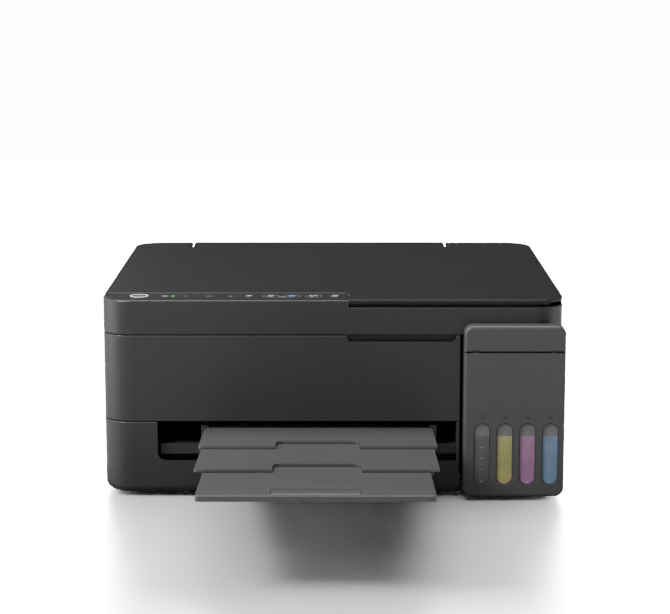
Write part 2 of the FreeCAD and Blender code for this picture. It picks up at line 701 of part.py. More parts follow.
def filler_cap(index):
    """Soft cap: a dome over the neck, a plug inside it and a pull collar."""
    x = window_x(index)
    low = NECK_TOP_Z - 1.6
    cap = rod_z(x, NECK_Y, low, low + CAP_H, CAP_R)
    cap = cap.makeFillet(1.2, edges_at_z(cap, low + CAP_H))
    cap = cap.cut(rod_z(x, NECK_Y, low - 1, NECK_TOP_Z, NECK_R + RUN))
    return join(cap, rod_z(x, NECK_Y, NECK_TOP_Z - 4, NECK_TOP_Z + 0.5, NECK_R - 1.1 - RUN))


# ---- print mechanism ------------------------------------------------------
def chassis():
    """Folded steel frame: back plate, two side plates and foot flanges."""
    x0 = MECH_X0
    x1 = MECH_X1
    sheets = [box(x0, x1, BACK_Y, BACK_Y + SHEET, PATH_Z + 12, CHASSIS_TOP_Z)]
    for x in (x0, x1 - SHEET):
        side = x + SHEET
        sheets.append(box(x, side, EJECT_Y - 10, BACK_Y + SHEET, PATH_Z - 20,
                          CHASSIS_TOP_Z))
        sheets.append(box(x, side, EJECT_Y - 10, FEED_Y + 12, PATH_Z - 34, PATH_Z + 12))
        sheets.append(box(x, side, PICKUP_Y - 14, PICKUP_Y + 12, FLOOR_Z, PICKUP_Z + 12))
        sheets.append(box(x, side, EJECT_Y - 6, PICKUP_Y + 12, FLOOR_Z, PATH_Z - 33))
    low = FLOOR_Z + BOSS_H
    for x in (x0 - FLANGE_W, x1 - 0.5):
        for y in SCREW_YS:
            sheets.append(box(x, x + FLANGE_W + 0.5, y - 8, y + 8, low, low + SHEET))
    plates = join(sheets[0], *sheets[1:])
    for y, z in ((FEED_Y, ROLLER_Z), (EJECT_Y, ROLLER_Z), (PICKUP_Y, PICKUP_Z)):
        plates = plates.cut(rod(x0 - 1, x1 + 1, y, z, FEED_SHAFT_R + RUN))
    plates = plates.cut(rod(x0 - 1, x0 + SHEET + 1, PINION_Y, PINION_Z, SHAFT_HOLE_R))
    plates = plates.cut(rod_y(BELT_X1, BACK_Y - 1, BACK_Y + SHEET + 1, BELT_Z,
                              SHAFT_HOLE_R))
    for x, y in screw_places():
        plates = plates.cut(rod_z(x, y, low - 1, low + SHEET + 1, SCREW_R + RUN))
    return plates


def chassis_screws():
    """Pan-head screws through the chassis flanges into the case's bosses."""
    screws = []
    seat = FLOOR_Z + BOSS_H + SHEET
    for x, y in screw_places():
        head = rod_z(x, y, seat, seat + SCREW_HEAD_H, SCREW_HEAD_R)
        head = head.makeFillet(0.8, edges_at_z(head, seat + SCREW_HEAD_H))
        slot = box(x - SCREW_HEAD_R * 0.7, x + SCREW_HEAD_R * 0.7, y - 0.4, y + 0.4,
                   seat + SCREW_HEAD_H - 0.9, seat + SCREW_HEAD_H + 1)
        cross = slot.copy()
        cross.rotate(FreeCAD.Vector(x, y, 0), Z_AXIS, 90)
        shank = rod_z(x, y, FLOOR_Z + 0.5, seat + 0.5, SCREW_R)
        screws.append(join(head, shank).cut(slot).cut(cross))
    return group(screws)


def carriage_rail():
    return box(MECH_X0 + SHEET, MECH_X1 - SHEET, RAIL_Y - 2, RAIL_Y + 2,
               RAIL_Z - 4, RAIL_Z + 4)


def carriage():
    """Print carriage: an open-topped box hooked over the rail."""
    x0 = CARRIAGE_X0
    x1 = x0 + CARRIAGE_W
    body = slab(x0, x1, CARRIAGE_Y0, CARRIAGE_Y1, PATH_Z + 8, CARRIAGE_TOP_Z, 3.0)
    body = body.cut(box(x0 + 2, x1 - 2, CARRIAGE_Y0 + 2, CARRIAGE_Y1 - 2,
                        PATH_Z + 14, CARRIAGE_TOP_Z + 1))
    hook = box(x0 + 4, x1 - 4, CARRIAGE_Y1 - 1, RAIL_Y + 3.8, RAIL_Z - 7, RAIL_Z + 7)
    body = join(body, hook)
    return body.cut(box(x0, x1, RAIL_Y - 2.2, RAIL_Y + 2.2, RAIL_Z - 4.2, RAIL_Z + 4.2))


def print_head():
    """Nozzle block under the carriage."""
    x0 = CARRIAGE_X0 + 6
    x1 = CARRIAGE_X0 + CARRIAGE_W - 6
    low = PATH_Z + 1.6
    return box(x0, x1, CARRIAGE_Y0 + 6, CARRIAGE_Y1 - 6, low, PATH_Z + 8)


def carriage_belt():
    """Timing belt round the motor and idler pulleys."""
    inner = PULLEY_R + 0.15
    outer = inner + BELT_T
    loops = []
    for radius in (outer, inner):
        loops.append(join(box(BELT_X0, BELT_X1, BELT_Y0, BELT_Y0 + 4,
                              BELT_Z - radius, BELT_Z + radius),
                          rod_y(BELT_X0, BELT_Y0, BELT_Y0 + 4, BELT_Z, radius),
                          rod_y(BELT_X1, BELT_Y0, BELT_Y0 + 4, BELT_Z, radius)))
    return loops[0].cut(loops[1])


def pulley(x):
    """Belt pulley with flat grooves round it, bored for its shaft."""
    wheel = rod_y(x, BELT_Y0 - 0.4, BELT_Y0 + 4.4, BELT_Z, PULLEY_R)
    for turn in range(10):
        angle = 2 * math.pi * turn / 10
        groove = rod_y(x + PULLEY_R * math.cos(angle), BELT_Y0 - 1, BELT_Y0 + 5,
                       BELT_Z + PULLEY_R * math.sin(angle), 0.7)
        wheel = wheel.cut(groove)
    return wheel.cut(rod_y(x, BELT_Y0 - 1, BELT_Y0 + 5, BELT_Z, SHAFT_R + RUN))


def carriage_motor():
    start = BACK_Y + SHEET
    can = rod_y(BELT_X1, start, start + 24, BELT_Z, 12.0)
    can = can.makeFillet(1.5, [e for e in can.Edges if e.BoundBox.YMin > start + 20])
    return join(can, rod_y(BELT_X1, BELT_Y0 - 0.4, start + 1, BELT_Z, SHAFT_R))


def idler_bracket():
    """Plate and axle that carry the idler pulley on the back plate."""
    plate = box(BELT_X0 - 7, BELT_X0 + 7, BACK_Y - 1.2, BACK_Y, BELT_Z - 8, BELT_Z + 8)
    return join(plate, rod_y(BELT_X0, BELT_Y0 - 0.4, BACK_Y - 1, BELT_Z, SHAFT_R))


def long_roller(y, rings):
    """Shaft along X with gripping rings."""
    shaft = rod(MECH_X0 - 10, MECH_X1 + 3, y, ROLLER_Z, FEED_SHAFT_R)
    return join(shaft, *[rod(x0, x1, y, ROLLER_Z, FEED_R) for x0, x1 in rings])


def feed_roller():
    return long_roller(FEED_Y, [(MECH_X0 + 12, MECH_X1 - 50)])


def eject_roller():
    starts = [PLATEN_X0 + 12 + step * RING_PITCH for step in range(RING_COUNT)]
    return long_roller(EJECT_Y, [(start, start + 10) for start in starts])


def feed_gear():
    return gear(FEED_TEETH, GEAR_MODULE, GEAR_X0, GEAR_X0 + GEAR_W, FEED_Y, ROLLER_Z,
                FEED_SHAFT_R)


def feed_pinion():
    return gear(PINION_TEETH, GEAR_MODULE, GEAR_X0, GEAR_X0 + GEAR_W, PINION_Y, PINION_Z,
                SHAFT_R + RUN)


def feed_motor():
    start = MECH_X0 + SHEET
    can = rod(start, start + 24, PINION_Y, PINION_Z, 11.5)
    return join(can, rod(GEAR_X0 - 0.5, start + 1, PINION_Y, PINION_Z, SHAFT_R))


def platen():
    """Ribbed table under the print head."""
    x0 = PLATEN_X0
    x1 = CARRIAGE_X0 - 3
    y0 = EJECT_Y + FEED_R + 1.5
    y1 = FEED_Y - FEED_R - 1.5
    table = box(MECH_X0 + SHEET, x1, y0, y1, PATH_Z - 7, PATH_Z - 1.6)
    ribs = []
    count = 16
    pitch = (x1 - x0 - 6) / (count - 1)
    for index in range(count):
        x = x0 + 3 + index * pitch
        ribs.append(box(x - 0.7, x + 0.7, y0 + 2, y1 - 2, PATH_Z - 2, PATH_Z - 0.3))
    return join(table, *ribs)


def star_wheels():
    """Bar with toothed wheels that hold the page on the eject roller."""
    bar = box(MECH_X0 + SHEET, CARRIAGE_X0 - 3, EJECT_Y - 4, EJECT_Y + 4,
              PATH_Z + 4.5, PATH_Z + 7)
    wheels = []
    for step in range(RING_COUNT):
        x = PLATEN_X0 + 17 + step * RING_PITCH
        wheels.append(rod(x - 0.5, x + 0.5, EJECT_Y, PATH_Z + 4.6, 4.2))
        wheels.append(rod(x - 2.5, x + 2.5, EJECT_Y, PATH_Z + 4.6, 1.6))
    return join(bar, *wheels)


def pinch_rollers():
    """Free rollers that press the page on the feed roller, and their holder."""
    holder = box(MECH_X0 + SHEET, CARRIAGE_X0 - 3, FEED_Y - 5, FEED_Y + 5,
                 PATH_Z + 8.4, PATH_Z + 10.4)
    pieces = []
    for step in range(4):
        x = MECH_X0 + 34 + step * 58
        pieces.append(rod(x, x + 30, FEED_Y, PATH_Z + 4.2, 3.6))
        for end in (x - 3, x + 31):
            pieces.append(box(end, end + 2, FEED_Y - 3, FEED_Y + 3, PATH_Z + 2.5, PATH_Z + 9))
        pieces.append(rod(x - 2, x + 32, FEED_Y, PATH_Z + 4.2, 1.2))
    return join(holder, *pieces)


def pickup_roller():
    """Shaft with a D-shaped rubber tyre near the page's fixed edge."""
    shaft = rod(MECH_X0 - 4, MECH_X1 + 3, PICKUP_Y, PICKUP_Z, FEED_SHAFT_R)
    half = PICKUP_W / 2
    wheel = rod(PICKUP_X - half, PICKUP_X + half, PICKUP_Y, PICKUP_Z, PICKUP_R)
    flat = box(PICKUP_X - half - 1, PICKUP_X + half + 1, PICKUP_Y - PICKUP_R,
               PICKUP_Y + PICKUP_R, PICKUP_Z + PICKUP_R * 0.72, PICKUP_Z + PICKUP_R + 1)
    return join(shaft, wheel.cut(flat))


def capping_station():
    """Parking tray under the head with two lips and a wiper."""
    x0 = CARRIAGE_X0
    x1 = x0 + CARRIAGE_W
    top = PATH_Z - 3
    tub = box(x0, x1, CARRIAGE_Y0 + 2, CARRIAGE_Y1 - 2, FLOOR_Z, top)
    tub = tub.cut(box(x0 + 2, x1 - 2, CARRIAGE_Y0 + 4, CARRIAGE_Y1 - 4, top - 14, top + 1))
    lip = slab(x0 + 8, x1 - 8, CARRIAGE_Y0 + 8, CARRIAGE_Y1 - 8, top - 15, PATH_Z + 1.2, 2.0)
    lip = lip.cut(box(x0 + 10, x1 - 10, CARRIAGE_Y0 + 10, CARRIAGE_Y1 - 10,
                      top - 8, PATH_Z + 2))
    return join(tub, lip)


def waste_ink_box():
    x0 = BAY_X + 2
    x1 = TUBE_X0 - 5
    y0 = BAY_Y + WALL + 2
    y1 = EJECT_Y - 12
    tub = box(x0, x1, y0, y1, FLOOR_Z, CASE_SEAM_Z - 6)
    pad = box(x0 + 2, x1 - 2, y0 + 2, y1 - 2, FLOOR_Z + 2, CASE_SEAM_Z - 8)
    return tub.cut(pad)


def ink_tubes():
    """Four tubes from the tanks' rear up to a clip on the chassis."""
    tubes = []
    for index in range(TANK_COUNT):
        x = TUBE_X0 + index * TUBE_PITCH
        points = [FreeCAD.Vector(x, TANK_REAR - 6, TUBE_Z),
                  FreeCAD.Vector(x, CARRIAGE_Y0, TUBE_Z),
                  FreeCAD.Vector(x, CARRIAGE_Y0, TUBE_TOP_Z)]
        tubes.append(sweep_round(tube_path(points, TUBE_BEND), TUBE_R))
    return group(tubes)


def tube_path(points, bend):
    """Two straight runs joined by one tangent quarter arc."""
    start, corner, end = points
    before = corner.sub(start).normalize()
    after = end.sub(corner).normalize()
    enter = corner.sub(before * bend)
    leave = corner.add(after * bend)
    centre = enter.add(after * bend)
    middle = centre.add((before - after).normalize() * bend)
    arc = Part.Arc(enter, middle, leave).toShape()
    return Part.Wire([Part.makeLine(start, enter), arc, Part.makeLine(leave, end)])


def sweep_round(path, radius):
    start = path.Edges[0].Vertexes[0].Point
    ring = Part.Wire([Part.makeCircle(radius, start, Y_AXIS)])
    return path.makePipeShell([ring], True, False)


def main_board():
    """Control board on four stand-offs, with its larger components."""
    x0 = USB_X - 6
    board = box(x0, x0 + 120, BASE_D - 92, BASE_D - WALL - 1, FLOOR_Z + 6, FLOOR_Z + 7.6)
    pieces = []
    for x in (x0 + 6, x0 + 114):
        for y in (BASE_D - 86, BASE_D - 12):
            pieces.append(rod_z(x, y, FLOOR_Z, FLOOR_Z + 6.5, 2.5))
    pieces.append(box(x0 + 40, x0 + 62, BASE_D - 70, BASE_D - 48, FLOOR_Z + 7, FLOOR_Z + 9.6))
    pieces.append(box(x0 + 76, x0 + 90, BASE_D - 60, BASE_D - 46, FLOOR_Z + 7, FLOOR_Z + 9.2))
    pieces.append(box(x0 + 100, x0 + 106, BASE_D - 70, BASE_D - 24, FLOOR_Z + 7,
                      FLOOR_Z + 14))
    return join(board, *pieces)


def power_supply():
    """Closed supply box with a stepped top and two foot flanges."""
    x0 = FRAME_X1 + 6
    x1 = HALF_W - WALL - 10
    y0 = PICKUP_Y + 14
    y1 = BASE_D - WALL - 16
    top = CASE_SEAM_Z - 12
    case = box(x0, x1, y0, y1, FLOOR_Z, top)
    case = case.cut(box(x0 - 1, x0 + 22, y0 - 1, y1 + 1, top - 9, top + 1))
    case = softened(case, (top,), 1.5)
    flange = box(x1 - 1, x1 + 6, y0 + 6, y1 - 6, FLOOR_Z, FLOOR_Z + 2)
    return join(case, flange)


def power_inlet():
    """Two-pin mains socket held in the rear wall."""
    w = INLET_W / 2
    h = INLET_H / 2
    face = box(INLET_X - w - 2, INLET_X + w + 2, BASE_D - WALL - 2.5, BASE_D - WALL,
               INLET_Z - h - 2, INLET_Z + h + 2)
    barrel = box(INLET_X - w + 0.2, INLET_X + w - 0.2, BASE_D - 15, BASE_D - 0.4,
                 INLET_Z - h + 0.2, INLET_Z + h - 0.2)
    socket = join(face, barrel)
    cup = box(INLET_X - w + 3, INLET_X + w - 3, BASE_D - 12, BASE_D + 1,
              INLET_Z - h + 4, INLET_Z + h - 4)
    socket = socket.cut(cup.makeFillet(4.0, edges_along(cup, Y_AXIS)))
    pins = [rod_y(INLET_X + side * 4, BASE_D - 13, BASE_D - 3, INLET_Z, 1.2)
            for side in (-1, 1)]
    return join(socket, *pins)


def usb_port():
    w = USB_W / 2
    h = USB_H / 2
    port = box(USB_X - w + 0.2, USB_X + w - 0.2, BASE_D - WALL - 0.9, BASE_D - 0.4,
               USB_Z - h + 0.2, USB_Z + h - 0.2)
    return port.cut(box(USB_X - w + 2.2, USB_X + w - 2.2, BASE_D - WALL + 1, BASE_D,
                        USB_Z - h + 2.2, USB_Z + h - 2.2))


# ---- rear paper feed ------------------------------------------------------
def slope(start, length, low, high):
    """Plate outline along the feed slope, as a polygon in the YZ plane."""
    along = FreeCAD.Vector(0, math.cos(SLOPE), math.sin(SLOPE))
    normal = FreeCAD.Vector(0, -math.sin(SLOPE), math.cos(SLOPE))
    foot = FreeCAD.Vector(0, SLOPE_Y, SLOPE_Z)
    corners = []
    for run, rise in ((start, low), (start + length, low), (start + length, high),
                      (start, high)):
        corners.append(foot + along * run + normal * rise)
    corners.append(corners[0])
    return Part.Face(Part.makePolygon(corners))


def slope_piece(x0, x1, start, length, low, high):
    face = slope(start, length, low, high)
    face.translate(FreeCAD.Vector(x0, 0, 0))
    return face.extrude(X_AXIS * (x1 - x0))


def feed_frame():
    """Sloping paper bed between two cheeks on legs."""
    bed = slope_piece(FRAME_X0, FRAME_X1, 0, SLOPE_L, -2.0, 0)
    bed = bed.cut(slope_piece(FRAME_X0 + 12, GUIDE_X1, GUIDE_S - 1, 5, -3, 1))
    parts = []
    for x0 in (FRAME_X0, FRAME_X1 - 2):
        cheek = box(x0, x0 + 2, NOTCH_Y + 3, SUPPORT_Y0 - 4, SLOPE_Z + 6, CHEEK_TOP_Z)
        leg = box(x0, x0 + 2, NOTCH_Y + 3, NOTCH_Y + 17, FLOOR_Z, SLOPE_Z + 10)
        parts.append(cheek)
        parts.append(leg)
    frame = join(bed, *parts)
    return frame.cut(rod(FRAME_X0 - 1, FRAME_X1 + 1, GUARD_Y, GUARD_Z, PIN_R + RUN))


def feeder_guard():
    """Flap over the feed slot that keeps things from falling in."""
    half = GUARD_T / 2
    x0 = FRAME_X0 + GUARD_INSET
    x1 = FRAME_X1 - GUARD_INSET
    flap = box(x0, x1, GUARD_Y - half, GUARD_Y + half, GUARD_Z, GUARD_Z + GUARD_L)
    pivot = rod(x0, x1, GUARD_Y, GUARD_Z, 2.2)
    pins = rod(FRAME_X0 + 0.2, FRAME_X1 - 0.2, GUARD_Y, GUARD_Z, PIN_R)
    guard = join(flap, pivot, pins)
    guard.rotate(FreeCAD.Vector(0, GUARD_Y, GUARD_Z), X_AXIS, -GUARD_LEAN)
    return guard


def edge_guide():
    """Sliding side guide with a key that runs in the bed's slot."""
    x0 = FRAME_X0 + 14
    fence = slope_piece(x0, x0 + 3, 8, 34, SLIP, 13)
    foot = slope_piece(x0, x0 + 14, 8, 20, SLIP, 2.4)
    key = slope_piece(x0 + 2, x0 + 12, GUIDE_S - 0.6, 4.2, -1.8, 1.0)
    return join(fence, foot, key)


def support_flange(x0, x1, y1, low):
    """Top of the paper support, hollowed in front to follow the lid."""
    high = low + FLANGE_T
    outline = arched_outline(x0, x1, y1, FLANGE_END_Y, FLANGE_MID_Y, low)
    flange = Part.Face(outline).extrude(Z_AXIS * FLANGE_T)
    flange = flange.makeFillet(3.0, edges_along(flange, Z_AXIS, lambda m: m.y < y1 - 1))
    flange = flange.makeFillet(4.0, edges_along(flange, X_AXIS, lambda m: m.z > low + 1))
    arch = [e for e in edges_at_z(flange, high) if e.BoundBox.YMax < FLANGE_MID_Y + 1]
    return flange.makeFillet(EDGE_R, arch)


def arched_outline(x0, x1, y1, end_y, middle_y, z):
    """Rectangle whose front edge is an arc through its middle."""
    a = FreeCAD.Vector(x0, end_y, z)
    b = FreeCAD.Vector(x1, end_y, z)
    c = FreeCAD.Vector(x1, y1, z)
    d = FreeCAD.Vector(x0, y1, z)
    middle = FreeCAD.Vector((x0 + x1) / 2, middle_y, z)
    return Part.Wire([Part.Arc(a, middle, b).toShape(), Part.makeLine(b, c),
                      Part.makeLine(c, d), Part.makeLine(d, a)])


def paper_support():
    """Rear paper support; its top fills the notch in the lid."""
    x0 = NOTCH_X0 + NOTCH_GAP
    x1 = NOTCH_X1 - NOTCH_GAP
    y1 = SUPPORT_Y0 + SUPPORT_T
    high = LID_TOP_Z - SUPPORT_DROP
    plate = box(x0, x1, SUPPORT_Y0, y1, SUPPORT_AXIS_Z - 4, high - 4)
    support = join(plate, support_flange(x0, x1, y1, high - FLANGE_T))
    inner = EXT_W / 2 + SLIP
    outer = inner + 2.4
    middle = (x0 + x1) / 2
    slot = y1 + EXT_T + 2 * SLIP
    rails = []
    for side in (-1, 1):
        wall = span(middle + side * inner, middle + side * outer)
        lip = span(middle + side * (inner - 3), middle + side * outer)
        for xs, start in ((wall, y1 - 0.2), (lip, slot)):
            rails.append(box(*xs, start, slot + EXT_LIP, SUPPORT_AXIS_Z + 10,
                             LID_TOP_Z - 22))
    pins = rod(x0 - 5, x1 + 5, SUPPORT_AXIS_Y, SUPPORT_AXIS_Z, PIN_R)
    return join(support, pins, *rails)


def support_extension():
    y0 = SUPPORT_Y0 + SUPPORT_T + SLIP
    x = (NOTCH_X0 + NOTCH_X1) / 2
    z0 = SUPPORT_AXIS_Z + 12
    sheet = box(x - EXT_W / 2, x + EXT_W / 2, y0, y0 + EXT_T, z0, z0 + EXT_H)
    return sheet.cut(box(x - 18, x + 18, y0 - 1, y0 + EXT_T + 1, z0 + EXT_H - 12,
                         z0 + EXT_H - 5))


# ---- scanner unit ---------------------------------------------------------
def notch(z0, z1, grow=0.0):
    """Room for the paper support in the scanner's rear."""
    return box(NOTCH_X0 - grow, NOTCH_X1 + grow, NOTCH_Y - grow, LID_D + 9, z0, z1)


def scanner_zone(name):
    """Parts of the plan where the scanner's outer wall has its own height."""
    if name == "panel":
        return box(-HALF_W - 1, PANEL_X1, -1, PANEL_D, 0, LID_TOP_Z + 1)
    return box(PANEL_X1, HALF_W + 1, -1, GRIP_END_Y, 0, LID_TOP_Z + 1)


def scanner_shell():
    """Floor and outer wall: high at the panel, low under the finger gap."""
    floor_z = SCAN_Z + SCAN_FLOOR_T
    panel = scanner_zone("panel")
    grip = scanner_zone("grip")
    high = softened(outer_slab(SCAN_Z, RIM_TOP_Z), (SCAN_Z,), EDGE_R)
    high = softened(high, (RIM_TOP_Z,), RIM_R).common(panel)
    low = softened(outer_slab(SCAN_Z, GRIP_Z), (SCAN_Z, GRIP_Z), EDGE_R).common(grip)
    rest = softened(outer_slab(SCAN_Z, RIM_Z), (SCAN_Z,), EDGE_R).cut(panel).cut(grip)
    hollow = outer_slab(floor_z, LID_TOP_Z + 1, WALL)
    hollow = hollow.cut(notch(SCAN_Z - 1, LID_TOP_Z + 2, WALL))
    return join(high, low, rest).cut(hollow).cut(notch(SCAN_Z - 1, LID_TOP_Z + 2))


def grip_walls():
    """Ledge and inner wall behind the finger gap, round the right corner."""
    low = GRIP_Z - 2
    grip = scanner_zone("grip")
    ledge = outer_slab(low, GRIP_Z, 1.0).cut(outer_slab(low - 1, LID_Z, GRIP_D + WALL))
    inner = outer_slab(low, RIM_Z, GRIP_D).cut(outer_slab(low - 1, LID_Z, GRIP_D + WALL))
    end = box(HALF_W - GRIP_D - WALL, HALF_W - 1, GRIP_END_Y - WALL, GRIP_END_Y,
              low, RIM_Z)
    return [ledge.common(grip), inner.common(grip), end]


def scanner_base():
    """Tray of the scanner with its grip ledge, hinge lugs, ears and lid pins."""
    unit = join(scanner_shell(), *grip_walls(), *scanner_lugs())
    unit = unit.cut(box(-HALF_W - 1, HALF_W + 1, LID_AXIS_Y - 4, LID_D + 1,
                        CHANNEL_Z, LID_Z))
    for side in (-1, 1):
        x = side * HINGE_X
        pocket = HINGE_W / 2 + SLIP
        unit = unit.cut(box(x - pocket, x + pocket, LID_AXIS_Y - 4.5, LID_D + 1,
                            LID_AXIS_Z - 3.4, LID_Z))
    return join(unit, *lid_ears(), *lid_pins())


def scanner_lugs():
    """Arms behind the rear wall that swing on the towers of the base."""
    pieces = []
    for side in (-1, 1):
        x = side * HINGE_X
        half = HINGE_W / 2
        arm = box(x - half, x + half, LID_D - 1.5, SCAN_AXIS_Y, SCAN_AXIS_Z - 6, SCAN_AXIS_Z)
        arm = join(arm, rod(x - half, x + half, SCAN_AXIS_Y, SCAN_AXIS_Z, EAR_R))
        pieces.append(arm.cut(rod(x - half - 1, x + half + 1, SCAN_AXIS_Y, SCAN_AXIS_Z,
                                  PIN_R + RUN)))
    return pieces


def lid_ears():
    """Ears on the scanner's floor that hold the lid's pins."""
    pieces = []
    inner = HINGE_W / 2 + SLIP
    for side in (-1, 1):
        x = side * HINGE_X
        for x0 in (x - inner - EAR_T, x + inner):
            pieces.append(box(x0, x0 + EAR_T, LID_AXIS_Y - LID_EAR_R,
                              LID_AXIS_Y + LID_EAR_R, SCAN_Z + 0.5, LID_AXIS_Z))
            pieces.append(rod(x0, x0 + EAR_T, LID_AXIS_Y, LID_AXIS_Z, LID_EAR_R))
    return pieces


def lid_pins():
    """Moulded pins between the ears, on which the lid's knuckles turn."""
    reach = HINGE_W / 2 + SLIP + 0.5
    return [rod(side * HINGE_X - reach, side * HINGE_X + reach, LID_AXIS_Y, LID_AXIS_Z,
                PIN_R) for side in (-1, 1)]


def scanner_top_frame():
    """Plate round the glass, with a ledge that carries it."""
    inset = WALL + SLIP
    low = BED_TOP_Z - BED_T
    plate = outer_slab(low, BED_TOP_Z, inset).cut(notch(low - 1, LID_Z, inset))
    plate = plate.cut(box(-HALF_W, HALF_W, LID_AXIS_Y - 6, LID_D, low - 1, LID_Z))
    plate = plate.cut(box(-HALF_W, PANEL_X1 + 1, 0, PANEL_D + 1, low - 1, LID_Z))
    room = box(PANEL_X1, HALF_W, 0, GRIP_END_Y + SLIP, low - 1, LID_Z)
    plate = plate.cut(room.cut(outer_slab(low - 1, LID_Z, GRIP_D + WALL + SLIP)))
    half = GLASS_W / 2 + GLASS_GAP
    y0 = GLASS_Y0 - GLASS_GAP
    y1 = GLASS_Y0 + GLASS_D + GLASS_GAP
    plate = plate.cut(box(GLASS_X - half, GLASS_X + half, y0, y1, low - 1, LID_Z))
    ledge = box(GLASS_X - half - 2, GLASS_X + half + 2, y0 - 2, y1 + 2, low - 1.2, low)
    ledge = ledge.cut(box(GLASS_X - half + 3, GLASS_X + half - 3, y0 + 3, y1 - 3,
                          low - 2, low + 1))
    return join(plate, ledge)


def scanner_glass():
    half = GLASS_W / 2
    return box(GLASS_X - half, GLASS_X + half, GLASS_Y0, GLASS_Y0 + GLASS_D,
               BED_TOP_Z - BED_T, BED_TOP_Z)


def scan_carriage():
    """Contact image sensor bar on a foot that slides on the scan rail."""
    top = BED_TOP_Z - BED_T - 1.8
    x0 = SCAN_HOME_X
    x1 = x0 + SCAN_BAR_W
    bar = box(x0, x1, GLASS_Y0 - 3, GLASS_Y0 + GLASS_D + 3, top - 9, top)
    foot = box(x0, x1, SCAN_RAIL_Y - 6, SCAN_RAIL_Y + 6, SCAN_RAIL_Z - 3.4, top - 8)
    return join(bar, foot).cut(rod(x0 - 1, x1 + 1, SCAN_RAIL_Y, SCAN_RAIL_Z,
                                   SCAN_RAIL_R + RUN))


def scan_rail():
    return rod(-HALF_W + WALL, HALF_W - WALL, SCAN_RAIL_Y, SCAN_RAIL_Z, SCAN_RAIL_R)


def scan_motor():
    """Motor of the scan carriage with its drive pulley."""
    low = SCAN_Z + SCAN_FLOOR_T
    x = HALF_W - WALL - 13
    can = rod_z(x, SCAN_RAIL_Y - 40, low, low + 9, 10.0)
    can = can.makeFillet(1.2, edges_at_z(can, low + 9))
    return join(can, rod_z(x, SCAN_RAIL_Y - 40, low + 9, low + 14, 3.0))


# ---- control panel --------------------------------------------------------
def key_places():
    """Middle and radius of every key, power key first."""
    places = [(POWER_X, POWER_R)]
    for index in range(KEY_COUNT):
        places.append((KEY_X0 + index * KEY_PITCH, KEY_R))
    return places


def control_panel():
    """Strip in front of the lid, on two inner walls, with key openings."""
    inset = WALL + 0.3
    x1 = PANEL_X1 - SEAM
    y1 = PANEL_D - 0.3
    region = box(-HALF_W, x1, 0, y1, SCAN_Z, LID_TOP_Z)
    strip = outer_slab(PANEL_TOP_Z - PANEL_T, PANEL_TOP_Z, inset).common(region)
    low = SCAN_Z + SCAN_FLOOR_T
    top = PANEL_TOP_Z - PANEL_T
    corner = edges_along(strip, Z_AXIS, lambda c: c.x > x1 - 1 and c.y > y1 - 1)
    strip = strip.makeFillet(PANEL_CORNER_R, corner)
    back = box(-HALF_W + WALL + 2, x1 - 2, y1 - 3, y1 - 1, low, top + 0.5)
    end = box(x1 - 3, x1 - 1, GRIP_D + WALL + 1, y1 - 3, low, top + 0.5)
    panel = join(strip, back.common(region), end)
    panel = panel.cut(lid_corner(top))
    for x, radius in key_places():
        panel = panel.cut(rod_z(x, PANEL_KEY_Y, low, LID_TOP_Z, radius + KEY_CLEAR))
    return panel.cut(rod_z(LIGHT_X, PANEL_KEY_Y, low, LID_TOP_Z, LIGHT_R + 0.1))


def lid_corner(top):
    """Room above the panel's walls for the rounded corner of the lid."""
    x1 = PANEL_X1 - SEAM
    y1 = PANEL_D - 0.3
    block = box(x1 - PANEL_CORNER_R, x1 + 1, y1 - PANEL_CORNER_R, y1 + 1, top, LID_TOP_Z)
    centre_x = x1 - PANEL_CORNER_R
    return block.cut(rod_z(centre_x, y1 - PANEL_CORNER_R, top - 1, LID_TOP_Z + 1,
                           PANEL_CORNER_R))


def key(place):
    """Round key with a flange under the panel."""
    x, radius = place
    top = PANEL_TOP_Z + KEY_PROUD
    cap = rod_z(x, PANEL_KEY_Y, PANEL_TOP_Z - PANEL_T - 1.2, top, radius)
    cap = cap.makeFillet(0.5, edges_at_z(cap, top))
    under = PANEL_TOP_Z - PANEL_T - 0.2
    flange = rod_z(x, PANEL_KEY_Y, under - 1.0, under, radius + 1.0)
    return join(cap, flange)


def status_light():
    return rod_z(LIGHT_X, PANEL_KEY_Y, PANEL_TOP_Z - 6, PANEL_TOP_Z + 0.1, LIGHT_R)


# ---- document lid ---------------------------------------------------------
def lid_notch():
    """Cut in the lid's rear edge that follows the paper support's top."""
    outline = arched_outline(NOTCH_X0, NOTCH_X1, LID_D + 5, FLANGE_END_Y - FLANGE_GAP,
                             FLANGE_MID_Y - FLANGE_GAP, LID_Z - 1)
    return Part.Face(outline).extrude(Z_AXIS * (LID_T + 3))


def document_lid():
    """Flat lid, cut away for the control panel and the paper support."""
    lid = outer_slab(LID_Z, LID_TOP_Z)
    panel = box(-HALF_W - 1, PANEL_X1, -1, PANEL_D, LID_Z - 1, LID_TOP_Z + 1)
    corner = edges_along(panel, Z_AXIS,
                         lambda c: c.x > PANEL_X1 - 1 and c.y > PANEL_D - 1)
    panel = panel.makeFillet(PANEL_CORNER_R + SLIP, corner)
    lid = lid.cut(panel).cut(lid_notch())
    lid = softened(lid, (LID_TOP_Z,), LID_EDGE_R)
    knuckles = []
    for side in (-1, 1):
        x = side * HINGE_X
        half = HINGE_W / 2
        knuckles.append(box(x - half, x + half, LID_AXIS_Y - 2.6, LID_AXIS_Y + 2.6,
                            LID_AXIS_Z, LID_Z + 0.5))
        knuckles.append(rod(x - half, x + half, LID_AXIS_Y, LID_AXIS_Z, 2.6))
    lid = join(lid, *knuckles)
    for side in (-1, 1):
        x = side * HINGE_X
        lid = lid.cut(rod(x - HINGE_W, x + HINGE_W, LID_AXIS_Y, LID_AXIS_Z, PIN_R + RUN))
    return lid


